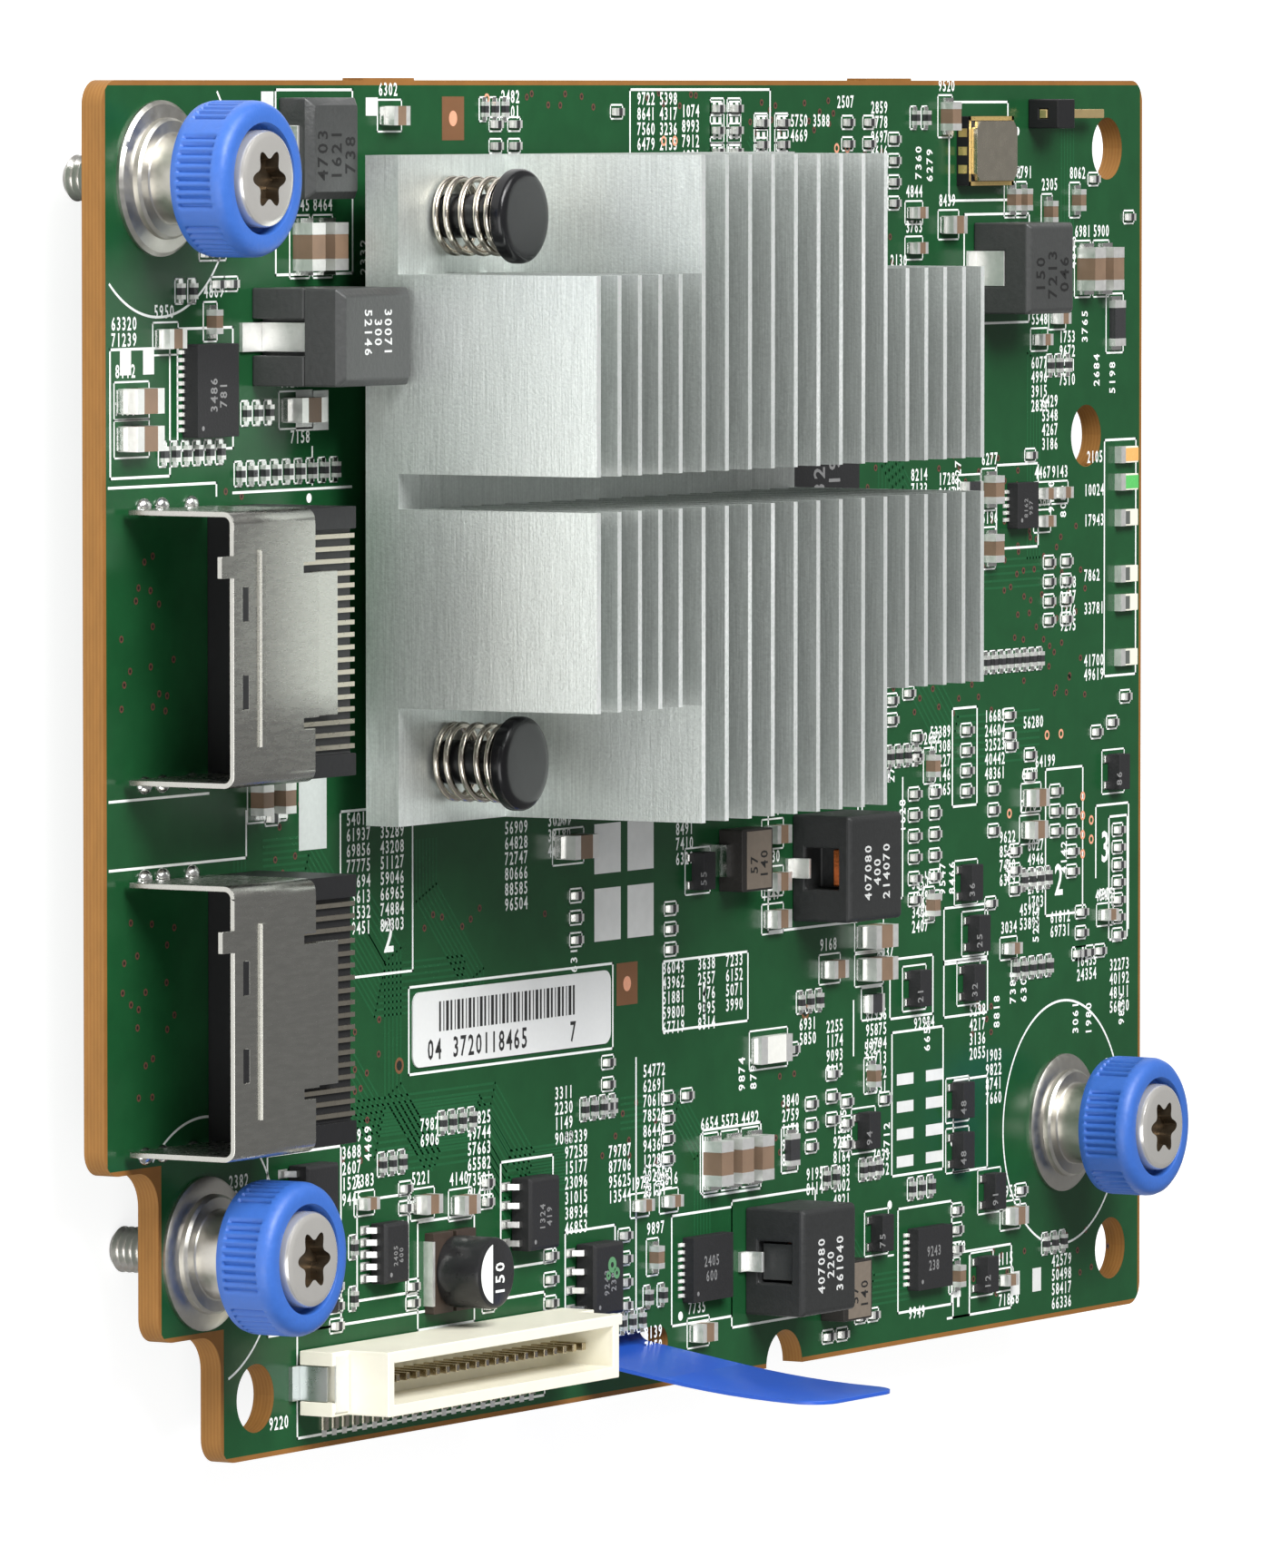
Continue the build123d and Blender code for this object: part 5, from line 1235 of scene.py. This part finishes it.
# Fuse, lamps, header and label
# A white chip fuse, a row of lamps along the card's edge, a black header with one angled pin left, and the
# paper label with round corners, plain bars and plain numbers.
dress("fuse", finish("fuse_ceramic", (0.75, 0.75, 0.70), 0.4, cells=(2.0, 2.0, 2.0)))
lamp_resin = finish("lamp_resin", (0.80, 0.78, 0.66), 0.2, spread=0.05, rough_spread=0.05, relief=0.02)
dress("status_lamps", lamp_resin, 0.08)
lamp_feet = bmesh.new()
lamp_bodies = bmesh.new()
tints = (("amber_lamp", (0.80, 0.42, 0.13)), ("green_lamp", (0.10, 0.50, 0.12)))
rows_of_lamps = sorted(solids_of("status_lamps"), key=lambda box: box[1])
for k, (left, top, right, bottom, low, high) in enumerate(rows_of_lamps):
    middle, width = (top + bottom) / 2, bottom - top
    block(lamp_feet, left + 0.33, middle, 0.0, 0.68, width + 0.02, high + 0.01)
    if k < len(tints):
        tint = bmesh.new()
        block(tint, (left + 0.67 + right) / 2, middle, 0.0, right - left - 0.66, width * 0.8, high + 0.012)
        name, colour = tints[k]
        piece(name, tint, finish(name, colour, 0.25, relief=0.02))
    else:
        block(lamp_bodies, left + 1.0, middle, 0.0, 0.66, width * 0.8, high + 0.01)
piece("lamp_feet", lamp_feet, bright_tin)
lamp_base = finish("lamp_base", (0.10, 0.11, 0.10), 0.35, relief=0.02)
piece("lamp_bodies", lamp_bodies, lamp_base)
dress("pin_header", housing_black, 0.1)
dress("header_pin", finish("pin_gold", (0.98, 0.74, 0.36), 0.3, 0.9, relief=0.03), 0.06)
left, top, right, bottom, low, high = solids_of("serial_label")[0]
sheet = bmesh.new()
block(sheet, (left + right) / 2, (top + bottom) / 2, low, right - left, bottom - top, high - low)
corners = [e for e in sheet.edges if abs(e.verts[0].co.z - e.verts[1].co.z) > 0.01 * mm]
bmesh.ops.bevel(sheet, geom=corners, offset=0.8 * mm, segments=6, profile=0.5, affect="EDGES", material=-1)
label_paper = finish("label_paper", (0.74, 0.75, 0.74), 0.55, spread=0.04, cells=(3.0, 3.0, 3.0), relief=0.1)
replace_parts(piece("label_sheet", sheet, label_paper), "serial_label")
label_print = bmesh.new()
print_height = high + 0.008
x, bars_end = left + 3.4, left + 21.0
k = 0
while x < bars_end:
    k += 1
    width = 0.12 + 0.12 * ((k * 5 + 2) % 3)
    patch(label_print, x, top + 1.75, width, 2.0, print_height)
    x += width + 0.14 + 0.1 * ((k * 7) % 3)
for text, along in (("04", 2.2), ("3720118465", 5.4), ("7", 20.6)):
    number(label_print, text, left + along, bottom - 0.4, 1.4, print_height)
face_up(label_print)
label_ink = finish("label_ink", (0.02, 0.02, 0.02), 0.5, relief=0.0)
piece("label_print", label_print, label_ink)

# Host connector
# The black moulded receptacle below the card that plugs into the host's board. Its contacts stand in rows and
# are plated with gold.
dress("host_connector", housing_black, 0.1)
dress("host_contacts", gold)

# Floor, light and camera
# A plain white floor and soft lamps. The camera has the photograph's long lens and looks along the card from
# its connector side, with the card's front edge down.
floor_white, floor_shown, floor_glow = (0.86, 0.86, 0.86), (0.46, 0.46, 0.46), 0.83
floor, floor_tree, floor_shader = new_finish("white_floor", floor_white, 0.6)
path = floor_tree.nodes.new("ShaderNodeLightPath")
seen = maths(floor_tree, "MULTIPLY", path.outputs["Is Camera Ray"], floor_glow)
tone = mixed(floor_tree, path.outputs["Is Camera Ray"], floor_white, floor_shown)
floor_tree.links.new(tone, floor_shader.inputs["Base Color"])
floor_shader.inputs["Emission Color"].default_value = (1, 1, 1, 1)
floor_tree.links.new(seen, floor_shader.inputs["Emission Strength"])
ground = bmesh.new()
bmesh.ops.create_grid(ground, x_segments=1, y_segments=1, size=6.0,
                      matrix=Matrix.Translation((0, 0, -0.0002)))
ground_data = bpy.data.meshes.new("floor")
ground.to_mesh(ground_data)
ground.free()
ground_data.materials.append(floor)
ground_thing = bpy.data.objects.new("floor", ground_data)
bpy.context.scene.collection.objects.link(ground_thing)

scene = bpy.context.scene
scene.view_settings.view_transform = "Standard"
world = bpy.data.worlds.new("studio")
scene.world = world
world.use_nodes = True
sky = world.node_tree
backdrop = sky.nodes["Background"]
backdrop.inputs["Color"].default_value = (1, 1, 1, 1)
rays = sky.nodes.new("ShaderNodeLightPath")
strength = maths(sky, "MAXIMUM", rays.outputs["Is Camera Ray"], 0.25)
sky.links.new(strength, backdrop.inputs["Strength"])


def soft_lamp(name, place, size, power):
    """A square soft lamp that looks at the card's middle."""
    aim = Vector((0, 0, 0.01))
    data = bpy.data.lights.new(name, "AREA")
    data.size = size
    data.energy = power
    lamp_thing = bpy.data.objects.new(name, data)
    bpy.context.scene.collection.objects.link(lamp_thing)
    lamp_thing.location = place
    lamp_thing.rotation_mode = "QUATERNION"
    lamp_thing.rotation_quaternion = (aim - Vector(place)).to_track_quat("-Z", "Y")


soft_lamp("key_lamp", (-0.36, 0.60, 0.68), 0.45, 11.5)
soft_lamp("fill_lamp", (-0.95, -0.30, 0.42), 0.7, 5.4)
soft_lamp("rim_lamp", (0.05, 0.75, 0.75), 0.5, 5.0)

focal_pixels, picture_height = 13593.0, 1727.0
film_height = 36.0
sin_turn, cos_turn = 0.8598, 0.5106
horizon_drop = 768.4 / focal_pixels
eye = card_point(-658.3, 0.0, 430.1)
forward = Vector((sin_turn, -horizon_drop, -cos_turn)).normalized()
rightward = Vector((cos_turn, 0.0, sin_turn)).normalized()
upward = rightward.cross(forward).normalized()
lens = bpy.data.cameras.new("long_lens")
lens.sensor_fit = "VERTICAL"
lens.sensor_height = film_height
lens.sensor_width = film_height
lens.lens = focal_pixels * hypot(1.0, horizon_drop) / picture_height * film_height
lens.clip_start, lens.clip_end = 0.05, 20.0
camera = bpy.data.objects.new("camera", lens)
scene.collection.objects.link(camera)
turned = Matrix((rightward, upward, -forward)).transposed()
camera.matrix_world = Matrix.Translation(eye) @ turned.to_4x4()
scene.camera = camera
